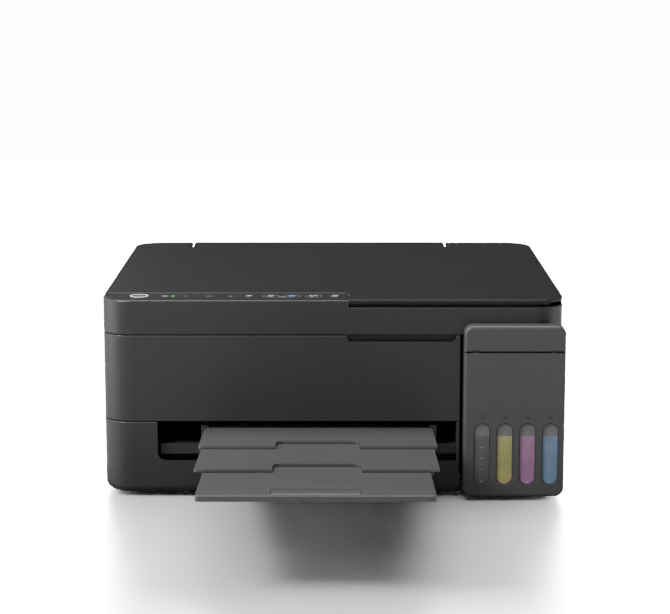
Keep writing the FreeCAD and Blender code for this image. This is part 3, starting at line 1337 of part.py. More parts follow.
def document_mat():
    """White pad on the lid that presses a page on the glass."""
    half = GLASS_W / 2 + 2
    return slab(GLASS_X - half, GLASS_X + half, GLASS_Y0 - 2, GLASS_Y0 + GLASS_D + 2,
                BED_TOP_Z + 0.4, LID_Z, 4.0)


# ---- every node -----------------------------------------------------------
def chassis_with_idler():
    return join(chassis(), idler_bracket())


NODES = {
    "lower_case": lower_case,
    "upper_case": upper_case,
    "rubber_feet": rubber_feet,
    "tray_stopper": tray_stopper,
    "tank_housing": tank_housing,
    "tank_lid": tank_lid,
    "ink_tank_block": ink_tank_block,
    "chassis": chassis_with_idler,
    "chassis_screws": chassis_screws,
    "carriage_rail": carriage_rail,
    "print_carriage": carriage,
    "print_head": print_head,
    "carriage_belt": carriage_belt,
    "carriage_motor": carriage_motor,
    "feed_roller": feed_roller,
    "feed_gear": feed_gear,
    "feed_pinion": feed_pinion,
    "feed_motor": feed_motor,
    "eject_roller": eject_roller,
    "platen": platen,
    "star_wheel_bar": star_wheels,
    "pinch_rollers": pinch_rollers,
    "pickup_roller": pickup_roller,
    "capping_station": capping_station,
    "waste_ink_box": waste_ink_box,
    "ink_tubes": ink_tubes,
    "main_board": main_board,
    "power_supply": power_supply,
    "power_inlet": power_inlet,
    "usb_port": usb_port,
    "feed_frame": feed_frame,
    "feeder_guard": feeder_guard,
    "edge_guide": edge_guide,
    "paper_support": paper_support,
    "support_extension": support_extension,
    "scanner_base": scanner_base,
    "scanner_top_frame": scanner_top_frame,
    "scanner_glass": scanner_glass,
    "scan_carriage": scan_carriage,
    "scan_rail": scan_rail,
    "scan_motor": scan_motor,
    "control_panel": control_panel,
    "status_light": status_light,
    "document_lid": document_lid,
    "document_mat": document_mat,
}

KEY_NAMES = ("power_button", "wireless_button", "page_button", "mono_copy_button",
             "colour_copy_button", "stop_button")
INK_NAMES = ("black", "yellow", "magenta", "cyan")


def main():
    os.makedirs("parts", exist_ok=True)
    for name, make in NODES.items():
        save(name, make())
    for stage in (1, 2, 3):
        save("tray_stage_" + str(stage), tray_stage(stage))
    for index, ink in enumerate(INK_NAMES):
        save("cap_" + ink, filler_cap(index))
    for name, place in zip(KEY_NAMES, key_places()):
        save(name, key(place))
    save("motor_pulley", pulley(BELT_X1))
    save("idler_pulley", pulley(BELT_X0))


main()
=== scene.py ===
# %% [markdown]
# # An ink-tank printer in a bright studio
# The CAD model already holds every casing, roller and key of the printer, so Blender's
# job is the finish: plastics, rubber, steel, ink behind frosted windows, printed symbols
# and the light.  Each step below says what the real thing is and why it is made this way.

# %% Start with the frame
import math

import bmesh
import bpy
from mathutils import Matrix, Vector
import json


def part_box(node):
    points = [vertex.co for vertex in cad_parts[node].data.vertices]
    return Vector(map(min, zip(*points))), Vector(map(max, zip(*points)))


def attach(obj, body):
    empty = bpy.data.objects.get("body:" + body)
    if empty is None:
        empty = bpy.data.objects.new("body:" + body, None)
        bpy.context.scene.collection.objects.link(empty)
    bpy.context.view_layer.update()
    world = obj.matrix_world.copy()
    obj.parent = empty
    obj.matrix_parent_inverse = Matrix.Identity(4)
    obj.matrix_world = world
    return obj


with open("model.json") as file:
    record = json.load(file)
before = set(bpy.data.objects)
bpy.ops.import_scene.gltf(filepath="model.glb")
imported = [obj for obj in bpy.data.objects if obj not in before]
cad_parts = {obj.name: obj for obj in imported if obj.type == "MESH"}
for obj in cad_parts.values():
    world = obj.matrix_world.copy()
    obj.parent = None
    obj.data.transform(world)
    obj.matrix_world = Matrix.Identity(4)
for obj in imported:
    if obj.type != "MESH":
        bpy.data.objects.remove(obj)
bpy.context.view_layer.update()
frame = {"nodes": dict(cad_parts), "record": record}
nodes = frame["nodes"]

# %% [markdown]
# ## Places
# Nothing is typed in that the CAD can say.  The front panel, the tank unit and the control
# strip give the planes that the added pieces sit on, so they stay right if the CAD changes.

# %% Planes and places from the CAD
MM = 0.001
case_low, case_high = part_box("upper_case")
TANK_FACE_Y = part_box("tank_housing")[0].y
GAUGE_FACE_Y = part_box("ink_tank_block")[0].y
PANEL_FACE_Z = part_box("control_panel")[1].z
FRONT_Y = case_low[1]
MIDDLE_X = (case_low[0] + case_high[0]) / 2
print("front face at y =", round(FRONT_Y, 4))

# %% [markdown]
# ## Camera
# The printer is seen from a little above and from far away, with a long lens, so the box
# keeps almost parallel sides.  A long lens also shows small parts at a true scale.

# %% The camera, before everything else
CAMERA_BACK = 1.580
CAMERA_UP = 0.4385
CAMERA_PITCH = math.radians(10.12)
CAMERA_LENS = 108.0

lens = bpy.data.cameras.new("studio_camera")
lens.lens = CAMERA_LENS
lens.sensor_width = 36.0
lens.clip_start = 0.05
camera = bpy.data.objects.new("studio_camera", lens)
camera.location = (MIDDLE_X + 0.0018, FRONT_Y - CAMERA_BACK, CAMERA_UP)
camera.rotation_euler = (math.pi / 2 - CAMERA_PITCH, 0, 0)
bpy.context.scene.collection.objects.link(camera)
bpy.context.scene.camera = camera
print("lens", lens.lens, "mm")

# %% [markdown]
# ## A small vocabulary for materials
# A material is a graph of nodes.  Two short helpers keep the graphs readable: one adds a
# node and fills its inputs, the other starts a material with a shader that has its fixed
# numbers set on its own sockets.

# %% Helpers for materials
def add(tree, kind, inputs=None, **settings):
    """Add a node, set its properties and fill or link its inputs."""
    node = tree.nodes.new(kind)
    for key, value in settings.items():
        setattr(node, key, value)
    for key, value in (inputs or {}).items():
        if isinstance(value, bpy.types.NodeSocket):
            tree.links.new(value, node.inputs[key])
        else:
            node.inputs[key].default_value = value
    return node


def new_finish(name, **sockets):
    """A material with one Principled shader; returns material, tree and shader."""
    material = bpy.data.materials.new(name)
    material.use_nodes = True
    tree = material.node_tree
    shader = tree.nodes["Principled BSDF"]
    for key, value in sockets.items():
        shader.inputs[key.replace("_", " ")].default_value = value
    return material, tree, shader


def object_space(tree):
    return add(tree, "ShaderNodeTexCoord").outputs["Object"]


def ramp(tree, factor, stops):
    """A colour ramp with the given (position, grey or colour) stops."""
    node = add(tree, "ShaderNodeValToRGB", {"Fac": factor})
    points = node.color_ramp.elements
    while len(points) < len(stops):
        points.new(0.5)
    for point, (position, colour) in zip(points, stops):
        point.position = position
        if isinstance(colour, (int, float)):
            colour = (colour, colour, colour)
        point.color = (*colour[:3], 1.0)
    return node.outputs["Color"]


print("material helpers ready")

# %% [markdown]
# ## Moulded plastic
# The casings are charcoal ABS from a spark-eroded mould: a fine, even grain, a satin
# sheen, and a colour that is never perfectly flat.  No image is used,
# so the grain is a fine noise that drives bump and roughness, and a broad noise that
# shifts the colour a little over the whole panel.

# %% Moulded plastic
GRAIN = 2600.0


def moulded(name, colour, roughness, grain=GRAIN, bump=0.12, mottle=0.07, gloss=0.3):
    """Satin moulded plastic with a fine eroded grain."""
    material, tree, shader = new_finish(name, IOR=1.49, Specular_IOR_Level=gloss)
    where = object_space(tree)
    broad = add(tree, "ShaderNodeTexNoise", {"Vector": where, "Scale": 9.0, "Detail": 4.0})
    fine = add(tree, "ShaderNodeTexNoise", {"Vector": where, "Scale": grain, "Detail": 3.0,
                                            "Roughness": 0.6})
    low = [c * (1 - mottle) for c in colour]
    high = [c * (1 + mottle) for c in colour]
    tint = ramp(tree, broad.outputs["Fac"], [(0.3, low), (0.7, high)])
    speck = ramp(tree, fine.outputs["Fac"], [(0.3, 0.90), (0.7, 1.08)])
    mixed = add(tree, "ShaderNodeMix", {"Factor": 1.0}, data_type="RGBA",
                blend_type="MULTIPLY")
    tree.links.new(tint, mixed.inputs["A"])
    tree.links.new(speck, mixed.inputs["B"])
    tree.links.new(mixed.outputs["Result"], shader.inputs["Base Color"])
    sheen = add(tree, "ShaderNodeMapRange", {"Value": fine.outputs["Fac"],
                                             "From Min": 0.3, "From Max": 0.7,
                                             "To Min": roughness - 0.035,
                                             "To Max": roughness + 0.045})
    tree.links.new(sheen.outputs["Result"], shader.inputs["Roughness"])
    height = add(tree, "ShaderNodeBump", {"Strength": bump, "Distance": 0.00012,
                                          "Height": fine.outputs["Fac"]})
    tree.links.new(height.outputs["Normal"], shader.inputs["Normal"])
    return material


body_plastic = moulded("charcoal_casing", (0.0115, 0.0115, 0.012), 0.38)
lid_plastic = moulded("charcoal_lid", (0.008, 0.008, 0.0083), 0.44, gloss=0.18)
base_plastic = moulded("charcoal_base", (0.0125, 0.0125, 0.013), 0.38)
strip_plastic = moulded("control_strip", (0.010, 0.010, 0.0105), 0.34, bump=0.06)
tank_plastic = moulded("tank_casing", (0.031, 0.031, 0.0328), 0.42, bump=0.16)
tray_plastic = moulded("tray_plastic", (0.032, 0.032, 0.033), 0.38, bump=0.08)
inner_plastic = moulded("black_frame_plastic", (0.008, 0.008, 0.0085), 0.46, grain=1400.0)
key_plastic = moulded("key_caps", (0.016, 0.016, 0.0165), 0.30, bump=0.05)
print("plastics ready")

# %% [markdown]
# ## Rubber, steel, brass and acetal
# Rubber is darker and duller than plastic and picks up dust.  Pressed steel shows the
# direction it was rolled in, which a noise stretched along one axis gives.  Turned brass
# has rings round its axis.  Acetal gears are a milky off-white that lets light in.

# %% Rubber, steel, brass and acetal
def rubber(name, colour, roughness=0.8):
    material, tree, shader = new_finish(name)
    where = object_space(tree)
    dust = add(tree, "ShaderNodeTexNoise", {"Vector": where, "Scale": 420.0, "Detail": 6.0})
    tint = ramp(tree, dust.outputs["Fac"], [(0.35, [c * 0.8 for c in colour]),
                                            (0.75, [c * 1.5 for c in colour])])
    tree.links.new(tint, shader.inputs["Base Color"])
    shader.inputs["Roughness"].default_value = roughness
    bump = add(tree, "ShaderNodeBump", {"Strength": 0.25, "Distance": 0.0002,
                                        "Height": dust.outputs["Fac"]})
    tree.links.new(bump.outputs["Normal"], shader.inputs["Normal"])
    return material


def metal(name, colour, roughness, stretch=(1.0, 30.0, 30.0), fine=60.0):
    """Rolled or ground metal: noise stretched along one direction."""
    material, tree, shader = new_finish(name, Metallic=1.0)
    where = object_space(tree)
    drawn = add(tree, "ShaderNodeMapping", {"Vector": where, "Scale": stretch})
    lines = add(tree, "ShaderNodeTexNoise", {"Vector": drawn.outputs["Vector"],
                                             "Scale": fine, "Detail": 5.0})
    tint = ramp(tree, lines.outputs["Fac"], [(0.3, [c * 0.85 for c in colour]),
                                             (0.7, colour)])
    tree.links.new(tint, shader.inputs["Base Color"])
    rough = add(tree, "ShaderNodeMapRange", {"Value": lines.outputs["Fac"],
                                             "From Min": 0.3, "From Max": 0.7,
                                             "To Min": roughness - 0.06,
                                             "To Max": roughness + 0.08})
    tree.links.new(rough.outputs["Result"], shader.inputs["Roughness"])
    bump = add(tree, "ShaderNodeBump", {"Strength": 0.08, "Distance": 0.0001,
                                        "Height": lines.outputs["Fac"]})
    tree.links.new(bump.outputs["Normal"], shader.inputs["Normal"])
    return material


def milky(name, colour):
    material, tree, shader = new_finish(name, Roughness=0.35, Subsurface_Weight=0.15,
                                        Subsurface_Scale=0.002)
    where = object_space(tree)
    cloud = add(tree, "ShaderNodeTexNoise", {"Vector": where, "Scale": 60.0})
    tint = ramp(tree, cloud.outputs["Fac"], [(0.3, [c * 0.93 for c in colour]),
                                             (0.7, colour)])
    tree.links.new(tint, shader.inputs["Base Color"])
    return material


foot_rubber = rubber("foot_rubber", (0.016, 0.016, 0.016))
cap_rubber = rubber("cap_rubber", (0.02, 0.02, 0.021), 0.62)
roller_rubber = rubber("roller_rubber", (0.045, 0.045, 0.047), 0.72)
belt_rubber = rubber("belt_rubber", (0.012, 0.012, 0.012), 0.7)
sheet_steel = metal("zinc_sheet", (0.62, 0.63, 0.65), 0.34)
bright_steel = metal("ground_steel", (0.72, 0.72, 0.74), 0.22)
motor_steel = metal("motor_can", (0.52, 0.52, 0.54), 0.3, stretch=(30.0, 30.0, 1.0))
brass = metal("turned_brass", (0.75, 0.53, 0.24), 0.26)
acetal = milky("white_acetal", (0.78, 0.77, 0.73))
print("metals and rubbers ready")

# %% [markdown]
# ## Ink behind frosted windows
# The tank is one moulding of frosted polypropylene with four chambers.  Ink shows through
# its wall as a soft tint, and the wall above the ink is a milky grey.  Real transmission
# through four liquids is slow and noisy, and the wall is nearly opaque anyway, so the
# colour is chosen from the place on the part: across the width for the chamber, and up
# for the ink level, with a soft edge where the ink wets the wall.

# %% Frosted tank with its inks
WINDOW_COUNT = 4
WINDOW_PITCH = 0.0183
FIRST_WINDOW_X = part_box("cap_black")[0].x / 2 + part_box("cap_black")[1].x / 2
INK_LEVEL = 0.0532
INK_COLOURS = ((0.036, 0.036, 0.036), (0.165, 0.156, 0.052), (0.152, 0.070, 0.135),
               (0.066, 0.104, 0.160))
EMPTY_WALL = (0.058, 0.059, 0.056)


def frosted_tank():
    material, tree, shader = new_finish("frosted_tank", Roughness=0.3, IOR=1.49,
                                        Coat_Weight=0.25, Coat_Roughness=0.12)
    where = object_space(tree)
    place = add(tree, "ShaderNodeSeparateXYZ", {"Vector": where})
    left = FIRST_WINDOW_X - WINDOW_PITCH / 2
    across = add(tree, "ShaderNodeMapRange", {"Value": place.outputs["X"],
                                              "From Min": left,
                                              "From Max": left + WINDOW_COUNT * WINDOW_PITCH,
                                              "To Min": 0.0, "To Max": 1.0})
    bands = add(tree, "ShaderNodeValToRGB", {"Fac": across.outputs["Result"]})
    bands.color_ramp.interpolation = "CONSTANT"
    points = bands.color_ramp.elements
    while len(points) < WINDOW_COUNT:
        points.new(0.5)
    for index, point in enumerate(points):
        point.position = index / WINDOW_COUNT
        point.color = (*INK_COLOURS[index], 1.0)
    ripple = add(tree, "ShaderNodeTexNoise", {"Vector": where, "Scale": 180.0})
    wave = add(tree, "ShaderNodeMath", {0: ripple.outputs["Fac"], 1: 0.0012},
               operation="MULTIPLY")
    height = add(tree, "ShaderNodeMath", {0: place.outputs["Z"], 1: wave.outputs["Value"]},
                 operation="ADD")
    empty = add(tree, "ShaderNodeMapRange", {"Value": height.outputs["Value"],
                                             "From Min": INK_LEVEL,
                                             "From Max": INK_LEVEL + 0.0014,
                                             "To Min": 0.0, "To Max": 1.0})
    wall = add(tree, "ShaderNodeMix", {"Factor": empty.outputs["Result"]}, data_type="RGBA")
    tree.links.new(bands.outputs["Color"], wall.inputs["A"])
    wall.inputs["B"].default_value = (*EMPTY_WALL, 1.0)
    cloud = add(tree, "ShaderNodeTexNoise", {"Vector": where, "Scale": 90.0, "Detail": 3.0})
    shade = ramp(tree, cloud.outputs["Fac"], [(0.3, 0.86), (0.7, 1.06)])
    milk = add(tree, "ShaderNodeMix", {"Factor": 1.0}, data_type="RGBA",
               blend_type="MULTIPLY")
    tree.links.new(wall.outputs["Result"], milk.inputs["A"])
    tree.links.new(shade, milk.inputs["B"])
    tree.links.new(milk.outputs["Result"], shader.inputs["Base Color"])
    bump = add(tree, "ShaderNodeBump", {"Strength": 0.06, "Distance": 0.0001,
                                        "Height": cloud.outputs["Fac"]})
    tree.links.new(bump.outputs["Normal"], shader.inputs["Normal"])
    return material


frosted = frosted_tank()
print("ink level", INK_LEVEL, "m, first window at x =", round(FIRST_WINDOW_X, 4))

# %% [markdown]
# ## Glass, tube, board, mat and light
# The scanner's glass is clear float glass with a green tint at its edge.  The lid's mat is
# white foam film.  The board is green solder mask over copper, whose tracks show as
# slightly raised lines; a brick pattern at a fine scale stands for them.

# %% Glass, tubes, board, mat and the status light
def clear(name, colour, roughness):
    material, tree, shader = new_finish(name, Roughness=roughness, IOR=1.52,
                                        Transmission_Weight=1.0)
    where = object_space(tree)
    tint = add(tree, "ShaderNodeTexNoise", {"Vector": where, "Scale": 4.0})
    shade = ramp(tree, tint.outputs["Fac"], [(0.3, [c * 0.97 for c in colour]),
                                             (0.7, colour)])
    tree.links.new(shade, shader.inputs["Base Color"])
    return material


def solder_mask():
    material, tree, shader = new_finish("solder_mask", Roughness=0.32, Coat_Weight=0.5)
    where = object_space(tree)
    tracks = add(tree, "ShaderNodeTexBrick", {"Vector": where, "Scale": 240.0,
                                              "Mortar Size": 0.06, "Bias": -0.3,
                                              "Color1": (0.008, 0.055, 0.022, 1),
                                              "Color2": (0.010, 0.072, 0.030, 1),
                                              "Mortar": (0.020, 0.135, 0.055, 1)})
    tree.links.new(tracks.outputs["Color"], shader.inputs["Base Color"])
    bump = add(tree, "ShaderNodeBump", {"Strength": 0.2, "Distance": 0.0001,
                                        "Height": tracks.outputs["Fac"]})
    tree.links.new(bump.outputs["Normal"], shader.inputs["Normal"])
    return material


def foam_film():
    material, tree, shader = new_finish("white_film", Roughness=0.55)
    where = object_space(tree)
    pores = add(tree, "ShaderNodeTexNoise", {"Vector": where, "Scale": 700.0,
                                             "Detail": 4.0})
    tint = ramp(tree, pores.outputs["Fac"], [(0.3, (0.74, 0.74, 0.73)),
                                             (0.7, (0.82, 0.82, 0.81))])
    tree.links.new(tint, shader.inputs["Base Color"])
    bump = add(tree, "ShaderNodeBump", {"Strength": 0.1, "Distance": 0.0001,
                                        "Height": pores.outputs["Fac"]})
    tree.links.new(bump.outputs["Normal"], shader.inputs["Normal"])
    return material


def glowing(name, colour, strength):
    material, tree, shader = new_finish(name, Roughness=0.3, Emission_Strength=strength)
    where = object_space(tree)
    cloud = add(tree, "ShaderNodeTexNoise", {"Vector": where, "Scale": 300.0})
    tint = ramp(tree, cloud.outputs["Fac"], [(0.3, [c * 0.8 for c in colour]),
                                             (0.7, colour)])
    tree.links.new(tint, shader.inputs["Base Color"])
    tree.links.new(tint, shader.inputs["Emission Color"])
    return material


bed_glass = clear("float_glass", (0.93, 0.97, 0.95), 0.0)
tube_clear = clear("clear_tube", (0.85, 0.86, 0.86), 0.18)
board_green = solder_mask()
mat_white = foam_film()
green_light = glowing("green_light", (0.03, 0.42, 0.06), 0.8)
print("clear and printed finishes ready")

# %% [markdown]
# ## Each CAD piece gets its finish
# The CAD pieces arrive with plain colours in slots named after their finish.  One table
# goes from slot to material, so a piece that is added to the CAD is finished too.

# %% Finishes onto the CAD pieces
FINISHES = {
    "body_plastic": body_plastic, "base_plastic": base_plastic,
    "lid_plastic": lid_plastic, "tank_plastic": tank_plastic,
    "clear_tank": frosted, "tray_plastic": tray_plastic,
    "inner_plastic": inner_plastic, "key_plastic": key_plastic,
    "cap_rubber": cap_rubber, "foot_rubber": foot_rubber,
    "roller_rubber": roller_rubber, "sheet_steel": sheet_steel,
    "bright_steel": bright_steel, "belt_rubber": belt_rubber,
    "motor_can": motor_steel, "white_gear": acetal, "brass_part": brass,
    "board_green": board_green, "bed_glass": bed_glass, "mat_white": mat_white,
    "light_green": green_light, "tube_clear": tube_clear,
}
slots = {part["node"]: part["material_slot"] for part in frame["record"]["subparts"]}
for name, piece in nodes.items():
    piece.data.materials.clear()
    piece.data.materials.append(FINISHES[slots[name]])
nodes["control_panel"].data.materials[0] = strip_plastic
print(len(nodes), "CAD pieces finished")

# %% [markdown]
# ## Turning meshes into pieces
# Every added piece ends as a mesh whose place is in its vertices.  One helper takes a
# finished bmesh, writes it to an object, gives it a material and lets it ride on the body
# that it is fixed to.

# %% From bmesh to a riding piece
def make_piece(name, mesh, material, body):
    """Write a bmesh to a new object that rides on a CAD body."""
    data = bpy.data.meshes.new(name)
    bmesh.ops.recalc_face_normals(mesh, faces=mesh.faces)
    mesh.to_mesh(data)
    mesh.free()
    data.materials.append(material)
    piece = bpy.data.objects.new(name, data)
    bpy.context.scene.collection.objects.link(piece)
    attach(piece, body)
    return piece


print("piece helper ready")

# %% [markdown]
# ## Printed marks
# A printed mark is a thin film of ink with a sharp outline.  Each one is drawn here as
# polygons in its own plane, given a film's thickness, and laid on a key, on the strip or
# on the tank's front.  The power key has its ring, the small keys have their outlines and
# plain symbols, and drops take the place of lettering above the ink windows.

# %% Shapes for printed marks
FILM = 0.06 * MM


def turn(radius, degrees, centre=(0.0, 0.0)):
    angle = math.radians(degrees)
    return (centre[0] + radius * math.cos(angle), centre[1] + radius * math.sin(angle))


def arc_band(outer, inner, start=0.0, end=360.0, steps=40, centre=(0.0, 0.0)):
    """Quads between two radii, from one angle to another."""
    angles = [start + (end - start) * step / steps for step in range(steps + 1)]
    return [[turn(inner, a, centre), turn(outer, a, centre), turn(outer, b, centre),
             turn(inner, b, centre)] for a, b in zip(angles, angles[1:])]


def bar(x, y, width, height):
    return [[(x - width / 2, y - height / 2), (x + width / 2, y - height / 2),
             (x + width / 2, y + height / 2), (x - width / 2, y + height / 2)]]


def sheet_outline(width, height, line, x=0.0, y=0.0):
    """Four bars round a rectangle: the symbol of a page."""
    side = (width - line) / 2
    end = (height - line) / 2
    return (bar(x - side, y, line, height) + bar(x + side, y, line, height)
            + bar(x, y - end, width - 2 * line, line)
            + bar(x, y + end, width - 2 * line, line))


def slot_outline(half_width, radius, line):
    """A long round-ended outline: two half rings and two straight bars."""
    reach = half_width - radius
    shape = arc_band(radius, radius - line, 90, 270, 20, (-reach, 0))
    shape += arc_band(radius, radius - line, -90, 90, 20, (reach, 0))
    for side in (-1, 1):
        shape += bar(0, side * (radius - line / 2), 2 * reach, line)
    return shape


def drop_shape(size):
    """A drop: most of a circle, closed by a point on top."""
    radius = size * 0.32
    low = -size / 2 + radius
    points = [turn(radius, angle, (0, low)) for angle in range(150, 391, 12)]
    return [points + [(0, size / 2)]]


def printed(name, polygons, material, place, body, upright=False):
    """Lay polygons, drawn in millimetres, on a surface that faces up or forward."""
    mesh = bmesh.new()
    for polygon in polygons:
        corners = [(u * MM, 0, v * MM) if upright else (u * MM, v * MM, 0)
                   for u, v in polygon]
        mesh.faces.new([mesh.verts.new(Vector(place) + Vector(corner)) for corner in corners])
    bmesh.ops.remove_doubles(mesh, verts=mesh.verts, dist=1e-7)
    lift = Vector((0, -FILM, 0)) if upright else Vector((0, 0, FILM))
    made = bmesh.ops.extrude_face_region(mesh, geom=list(mesh.faces))
    moved = [item for item in made["geom"] if isinstance(item, bmesh.types.BMVert)]
    bmesh.ops.translate(mesh, verts=moved, vec=lift)
    return make_piece(name, mesh, material, body)


print("printed film", FILM, "m thick")

# %% [markdown]
# ## Printing inks
# The marks are pad printed, which leaves a thin matt film.  A slight unevenness at a fine
# scale stands for the weave of the pad.  Pale inks mark the keys, faint ones the small
# signs beside them, and a dark one the drops on the tank.

# %% Printing inks
def print_ink(name, colour, roughness=0.5):
    material, tree, shader = new_finish(name, Roughness=roughness)
    weave = add(tree, "ShaderNodeTexNoise", {"Vector": object_space(tree), "Scale": 900.0})
    tint = ramp(tree, weave.outputs["Fac"], [(0.3, [c * 0.9 for c in colour]),
                                             (0.7, colour)])
    tree.links.new(tint, shader.inputs["Base Color"])
    return material


ring_ink = print_ink("ring_ink", (0.85, 0.85, 0.85), 0.3)
pale_ink = print_ink("pale_ink", (0.40, 0.40, 0.40))
grey_ink = print_ink("grey_ink", (0.22, 0.22, 0.22))
faint_ink = print_ink("faint_ink", (0.13, 0.13, 0.13))
blue_ink = print_ink("blue_ink", (0.03, 0.16, 0.42))
dark_ink = print_ink("dark_ink", (0.008, 0.008, 0.009))
gauge_ink = print_ink("gauge_ink", (0.17, 0.17, 0.17))
print("printing inks ready")

# %% [markdown]
# ## Symbols on the keys
# Each symbol rides on its own key, so it goes down when the key is pressed.  The symbols
# are plain drawings: waves for the wireless link, a page, a blue bar and two pages for the
# copies, and a ringed dot for stop.  Sizes are in millimetres.

# %% Symbols on the keys
def key_top(node):
    """Middle of the top face of a key or lamp."""
    low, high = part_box(node)
    return ((low.x + high.x) / 2, (low.y + high.y) / 2, high.z)


WAVE_RADII = (1.2, 2.4, 3.6)
WAVE_LINE = 0.6
WAVE_STEPS = 10
WAVE_FOOT = (0, -1.4)

waves = [band for radius in WAVE_RADII
         for band in arc_band(radius, radius - WAVE_LINE, 45, 135, WAVE_STEPS, WAVE_FOOT)]
power_arc = arc_band(2.6, 2.0, -235, 55) + bar(0, 1.9, 0.6, 2.4)
page = sheet_outline(3.6, 4.6, 0.5) + bar(0, 0.6, 2.0, 0.4) + bar(0, -0.6, 2.0, 0.4)
two_pages = (sheet_outline(3.4, 4.4, 0.5, -1.2) + bar(2.2, 0, 0.6, 4.4)
             + bar(1.2, 2.0, 1.6, 0.5))
ringed_dot = arc_band(2.6, 1.9) + bar(0, 0, 1.3, 1.3)

KEY_MARKS = (
    ("power_ring", arc_band(7.3, 6.1), ring_ink, "power_button"),
    ("power_symbol", power_arc, faint_ink, "power_button"),
    ("wireless_symbol", waves, pale_ink, "wireless_button"),
    ("page_symbol", page, pale_ink, "page_button"),
    ("mono_symbol", bar(0, 0, 5.4, 3.6), blue_ink, "mono_copy_button"),
    ("copy_symbol", two_pages, pale_ink, "colour_copy_button"),
    ("stop_symbol", ringed_dot, pale_ink, "stop_button"),
)
for name, shape, ink, key in KEY_MARKS:
    printed(name, shape, ink, key_top(key), key)
print(len(KEY_MARKS), "marks on the keys")

# %% [markdown]
# ## Signs on the control strip
# The strip belongs to the scanner unit, so its signs ride on that body.  They are set out
# from the status light, as on the real strip: a sign beside the light, three for link,
# paper and ink, and a short dash between two keys.  Three keys have a long outline.

# %% Signs on the control strip
OUTLINED_KEYS = ("page_button", "mono_copy_button", "colour_copy_button")
for key in OUTLINED_KEYS:
    key_x, key_y, _ = key_top(key)
    printed(key + "_outline", slot_outline(6.9, 5.1, 0.35), faint_ink,
            (key_x, key_y, PANEL_FACE_Z), "scanner")

light_x, light_y, _ = key_top("status_light")
WAVE_PAIR = 2 * WAVE_STEPS
ready = sheet_outline(4.8, 3.6, 0.6) + bar(0, 0, 3.0, 0.5)
link = bar(-1.2, 0, 2.6, 0.6) + waves[:WAVE_PAIR]
paper = sheet_outline(3.0, 3.4, 0.5) + bar(3.0, 0, 1.8, 0.6)
ink_low = drop_shape(3.6) + bar(2.8, 0, 1.8, 0.6)

# name, shape, ink, then how far right of the light and behind it, in millimetres
STRIP_SIGNS = (
    ("ready_symbol", ready, grey_ink, -6.4, 0.0),
    ("link_symbol", link, faint_ink, 11.0, 0.0),
    ("paper_symbol", paper, faint_ink, 29.2, 0.0),
    ("ink_symbol", ink_low, faint_ink, 46.5, 0.0),
    ("strip_dash", bar(0, 0, 4.6, 0.8), pale_ink, 88.0, -4.2),
)
for name, shape, ink, right, behind in STRIP_SIGNS:
    printed(name, shape, ink, (light_x + right * MM, light_y + behind * MM, PANEL_FACE_Z),
            "scanner")
print(len(STRIP_SIGNS), "signs and", len(OUTLINED_KEYS), "outlines on the strip")

# %% [markdown]
# ## Marks on the tank
# Each chamber's wall has four level marks and a small arrow at the lowest level.  A drop
# above each window says what is behind it.

# %% Marks on the tank
TICK_HEIGHTS = (55.5, 44.0, 35.0, 26.0)
TICK_SIZE = (2.2, 0.4)
ARROW = [(-0.9, 15.2), (0.9, 15.2), (0, 17.0)]
DROP_SIZE = 4.4
DROP_Z = 69.5 * MM

gauge = [tick for height in TICK_HEIGHTS for tick in bar(0, height, *TICK_SIZE)] + [ARROW]
for index, colour in enumerate(("black", "yellow", "magenta", "cyan")):
    window_x = FIRST_WINDOW_X + index * WINDOW_PITCH
    printed("gauge_marks_" + colour, gauge, gauge_ink, (window_x, GAUGE_FACE_Y, 0), "base",
            upright=True)
    printed("drop_mark_" + colour, drop_shape(DROP_SIZE), dark_ink,
            (window_x, TANK_FACE_Y, DROP_Z), "base", upright=True)
print("tank marks at y =", round(GAUGE_FACE_Y, 4), "and", round(TANK_FACE_Y, 4))

# %% [markdown]
# ## Stage
# The printer stands on a pale glossy floor that shows its dark reflection.  The floor ends
# behind it, where a white room carries on at the same brightness.  A hidden plate just
# under the floor stands for the shaded floor that the printer's lower edges see.

# %% Floor
FLOOR_HALF = 2.6
SHADE_HALF = 0.24
SHADE_Z = -0.5 * MM


def flat_stage(name, half, height, material):
    """A level square that belongs to the studio, not to the printer."""
    mesh = bmesh.new()
    bmesh.ops.create_grid(mesh, x_segments=1, y_segments=1, size=half)
    bmesh.ops.translate(mesh, verts=mesh.verts, vec=(0, 0, height))
    data = bpy.data.meshes.new(name)
    mesh.to_mesh(data)
    mesh.free()
    data.materials.append(material)
    stage = bpy.data.objects.new(name, data)
    bpy.context.scene.collection.objects.link(stage)
    return stage


def plain(name, grey, **sockets):
    """One grey all over, for studio surfaces only."""
    material, _, shader = new_finish(name, **sockets)
    shader.inputs["Base Color"].default_value = (grey, grey, grey, 1.0)
    return material


floor_finish = plain("pale_floor", 0.92, Roughness=0.31, Metallic=0.86)
floor = flat_stage("studio_floor", FLOOR_HALF, 0.0, floor_finish)
floor.visible_diffuse = False
floor.visible_glossy = False

shade_finish = plain("floor_shade", 0.70, Roughness=0.9)
shade = flat_stage("floor_shade", SHADE_HALF, SHADE_Z, shade_finish)
shade.visible_camera = False
shade.visible_shadow = False

floor_only = bpy.data.collections.new("floor_only")
floor_only.objects.link(floor)
print("floor", 2 * FLOOR_HALF, "m wide")

# %% [markdown]
# ## Light
# Dark satin plastic shows its shape by what it reflects, not by its own colour.  A wide
# sun straight above lights the lid evenly.  A box at the left gives the corner its bright
# line and a weaker one at the right keeps the tank readable.  The white floor would throw
# far too much light up at the printer, so it has its own lights and the room below the
# horizon stands in for its bounce.  A panel behind lights the floor alone, which is why the
# printer's own dark reflection shows in it.

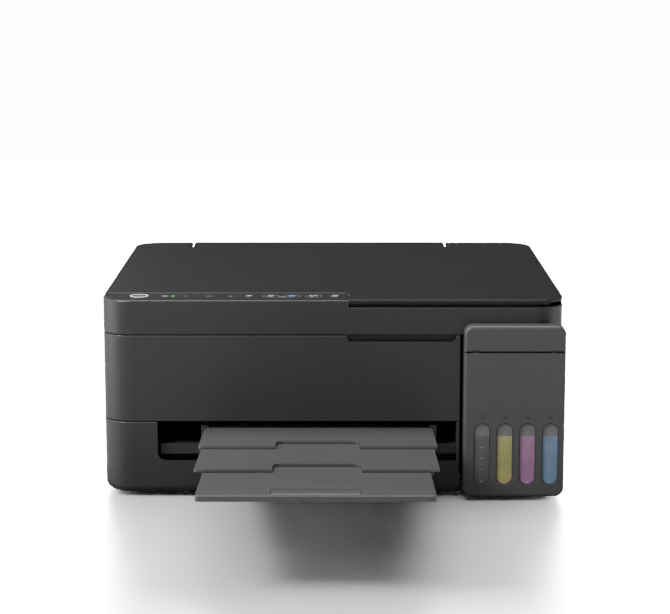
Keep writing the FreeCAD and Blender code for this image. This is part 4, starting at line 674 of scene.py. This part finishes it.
# %% Suns, boxes and room
def place_lamp(name, data, place, target=None, only=None):
    """Put a light in the scene; it may be aimed, and may light one collection only."""
    lamp = bpy.data.objects.new(name, data)
    lamp.location = place
    if target:
        aim = Vector(target) - Vector(place)
        lamp.rotation_euler = aim.to_track_quat("-Z", "Y").to_euler()
    bpy.context.scene.collection.objects.link(lamp)
    if only:
        lamp.light_linking.receiver_collection = only
    return lamp


def wide_sun(name, strength, spread, only=None):
    data = bpy.data.lights.new(name, "SUN")
    data.energy = strength
    data.angle = spread
    return place_lamp(name, data, (0, 0, 3), only=only)


def soft_box(name, place, target, size, power, only=None):
    data = bpy.data.lights.new(name, "AREA")
    data.shape = "RECTANGLE"
    data.size, data.size_y = size
    data.energy = power
    return place_lamp(name, data, place, target, only)


SUN_SPREAD = math.radians(50)
WASH_SPREAD = math.radians(70)
wide_sun("overhead", 5.5, SUN_SPREAD)
wide_sun("floor_wash", 7.0, WASH_SPREAD, floor_only)

# name, place, what it points at, width and height in metres, watts
BOXES = (
    ("left_box", (-1.25, -0.15, 0.32), (-0.19, 0, 0.1), (1.1, 0.8), 17.0),
    ("left_top", (-0.62, -0.45, 0.75), (-0.1, 0.05, 0.16), (0.3, 0.3), 24.0),
    ("right_box", (1.25, -0.15, 0.32), (0.19, 0, 0.1), (0.9, 0.8), 6.0),
    ("front_fill", (0, -2.5, 0.9), (0, 0, 0.1), (2.2, 1.0), 22.0),
    ("back_card", (-0.75, 1.3, 0.55), (-0.1, 0.1, 0.16), (0.6, 0.35), 2.5),
)
for name, place, target, size, watts in BOXES:
    soft_box(name, place, target, size, watts)
back_panel = soft_box("back_panel", (0, 2.65, 1.0), (0, 0, 1.0), (7.0, 2.0), 1400.0,
                      floor_only)
back_panel.visible_camera = False
print(len(BOXES), "soft boxes, two suns and a panel for the floor")

# %% [markdown]
# ## The room
# The room is the world's light.  It is bright where the camera looks straight at it, so
# the background is white, and dim as a light, so the lid does not mirror it.  Below the
# horizon it takes the floor's part and sends a little light up.

# %% The white room
DIM_LIGHT = 0.10
FLOOR_BOUNCE = 1.3
WHITE_SEEN = 14.0

room = bpy.data.worlds.new("white_room")
room.use_nodes = True
sky = room.node_tree
background = sky.nodes["Background"]
background.inputs["Color"].default_value = (1.0, 1.0, 1.0, 1.0)
direction = add(sky, "ShaderNodeTexCoord").outputs["Generated"]
upward = add(sky, "ShaderNodeSeparateXYZ", {"Vector": direction}).outputs["Z"]
power = add(sky, "ShaderNodeMapRange", {"Value": upward, "From Min": -0.05, "From Max": 0.0,
                                        "To Min": FLOOR_BOUNCE, "To Max": DIM_LIGHT})
seen = add(sky, "ShaderNodeLightPath").outputs["Is Camera Ray"]
chosen = add(sky, "ShaderNodeMix", {"Factor": seen, "A": power.outputs["Result"],
                                    "B": WHITE_SEEN})
sky.links.new(chosen.outputs["Result"], background.inputs["Strength"])
bpy.context.scene.world = room
print("room seen at", WHITE_SEEN, "and lit at", DIM_LIGHT)

# %% [markdown]
# The printed marks are thinner than a tenth of a millimetre, so the finished printer has
# to fill the same box as the CAD.

import json
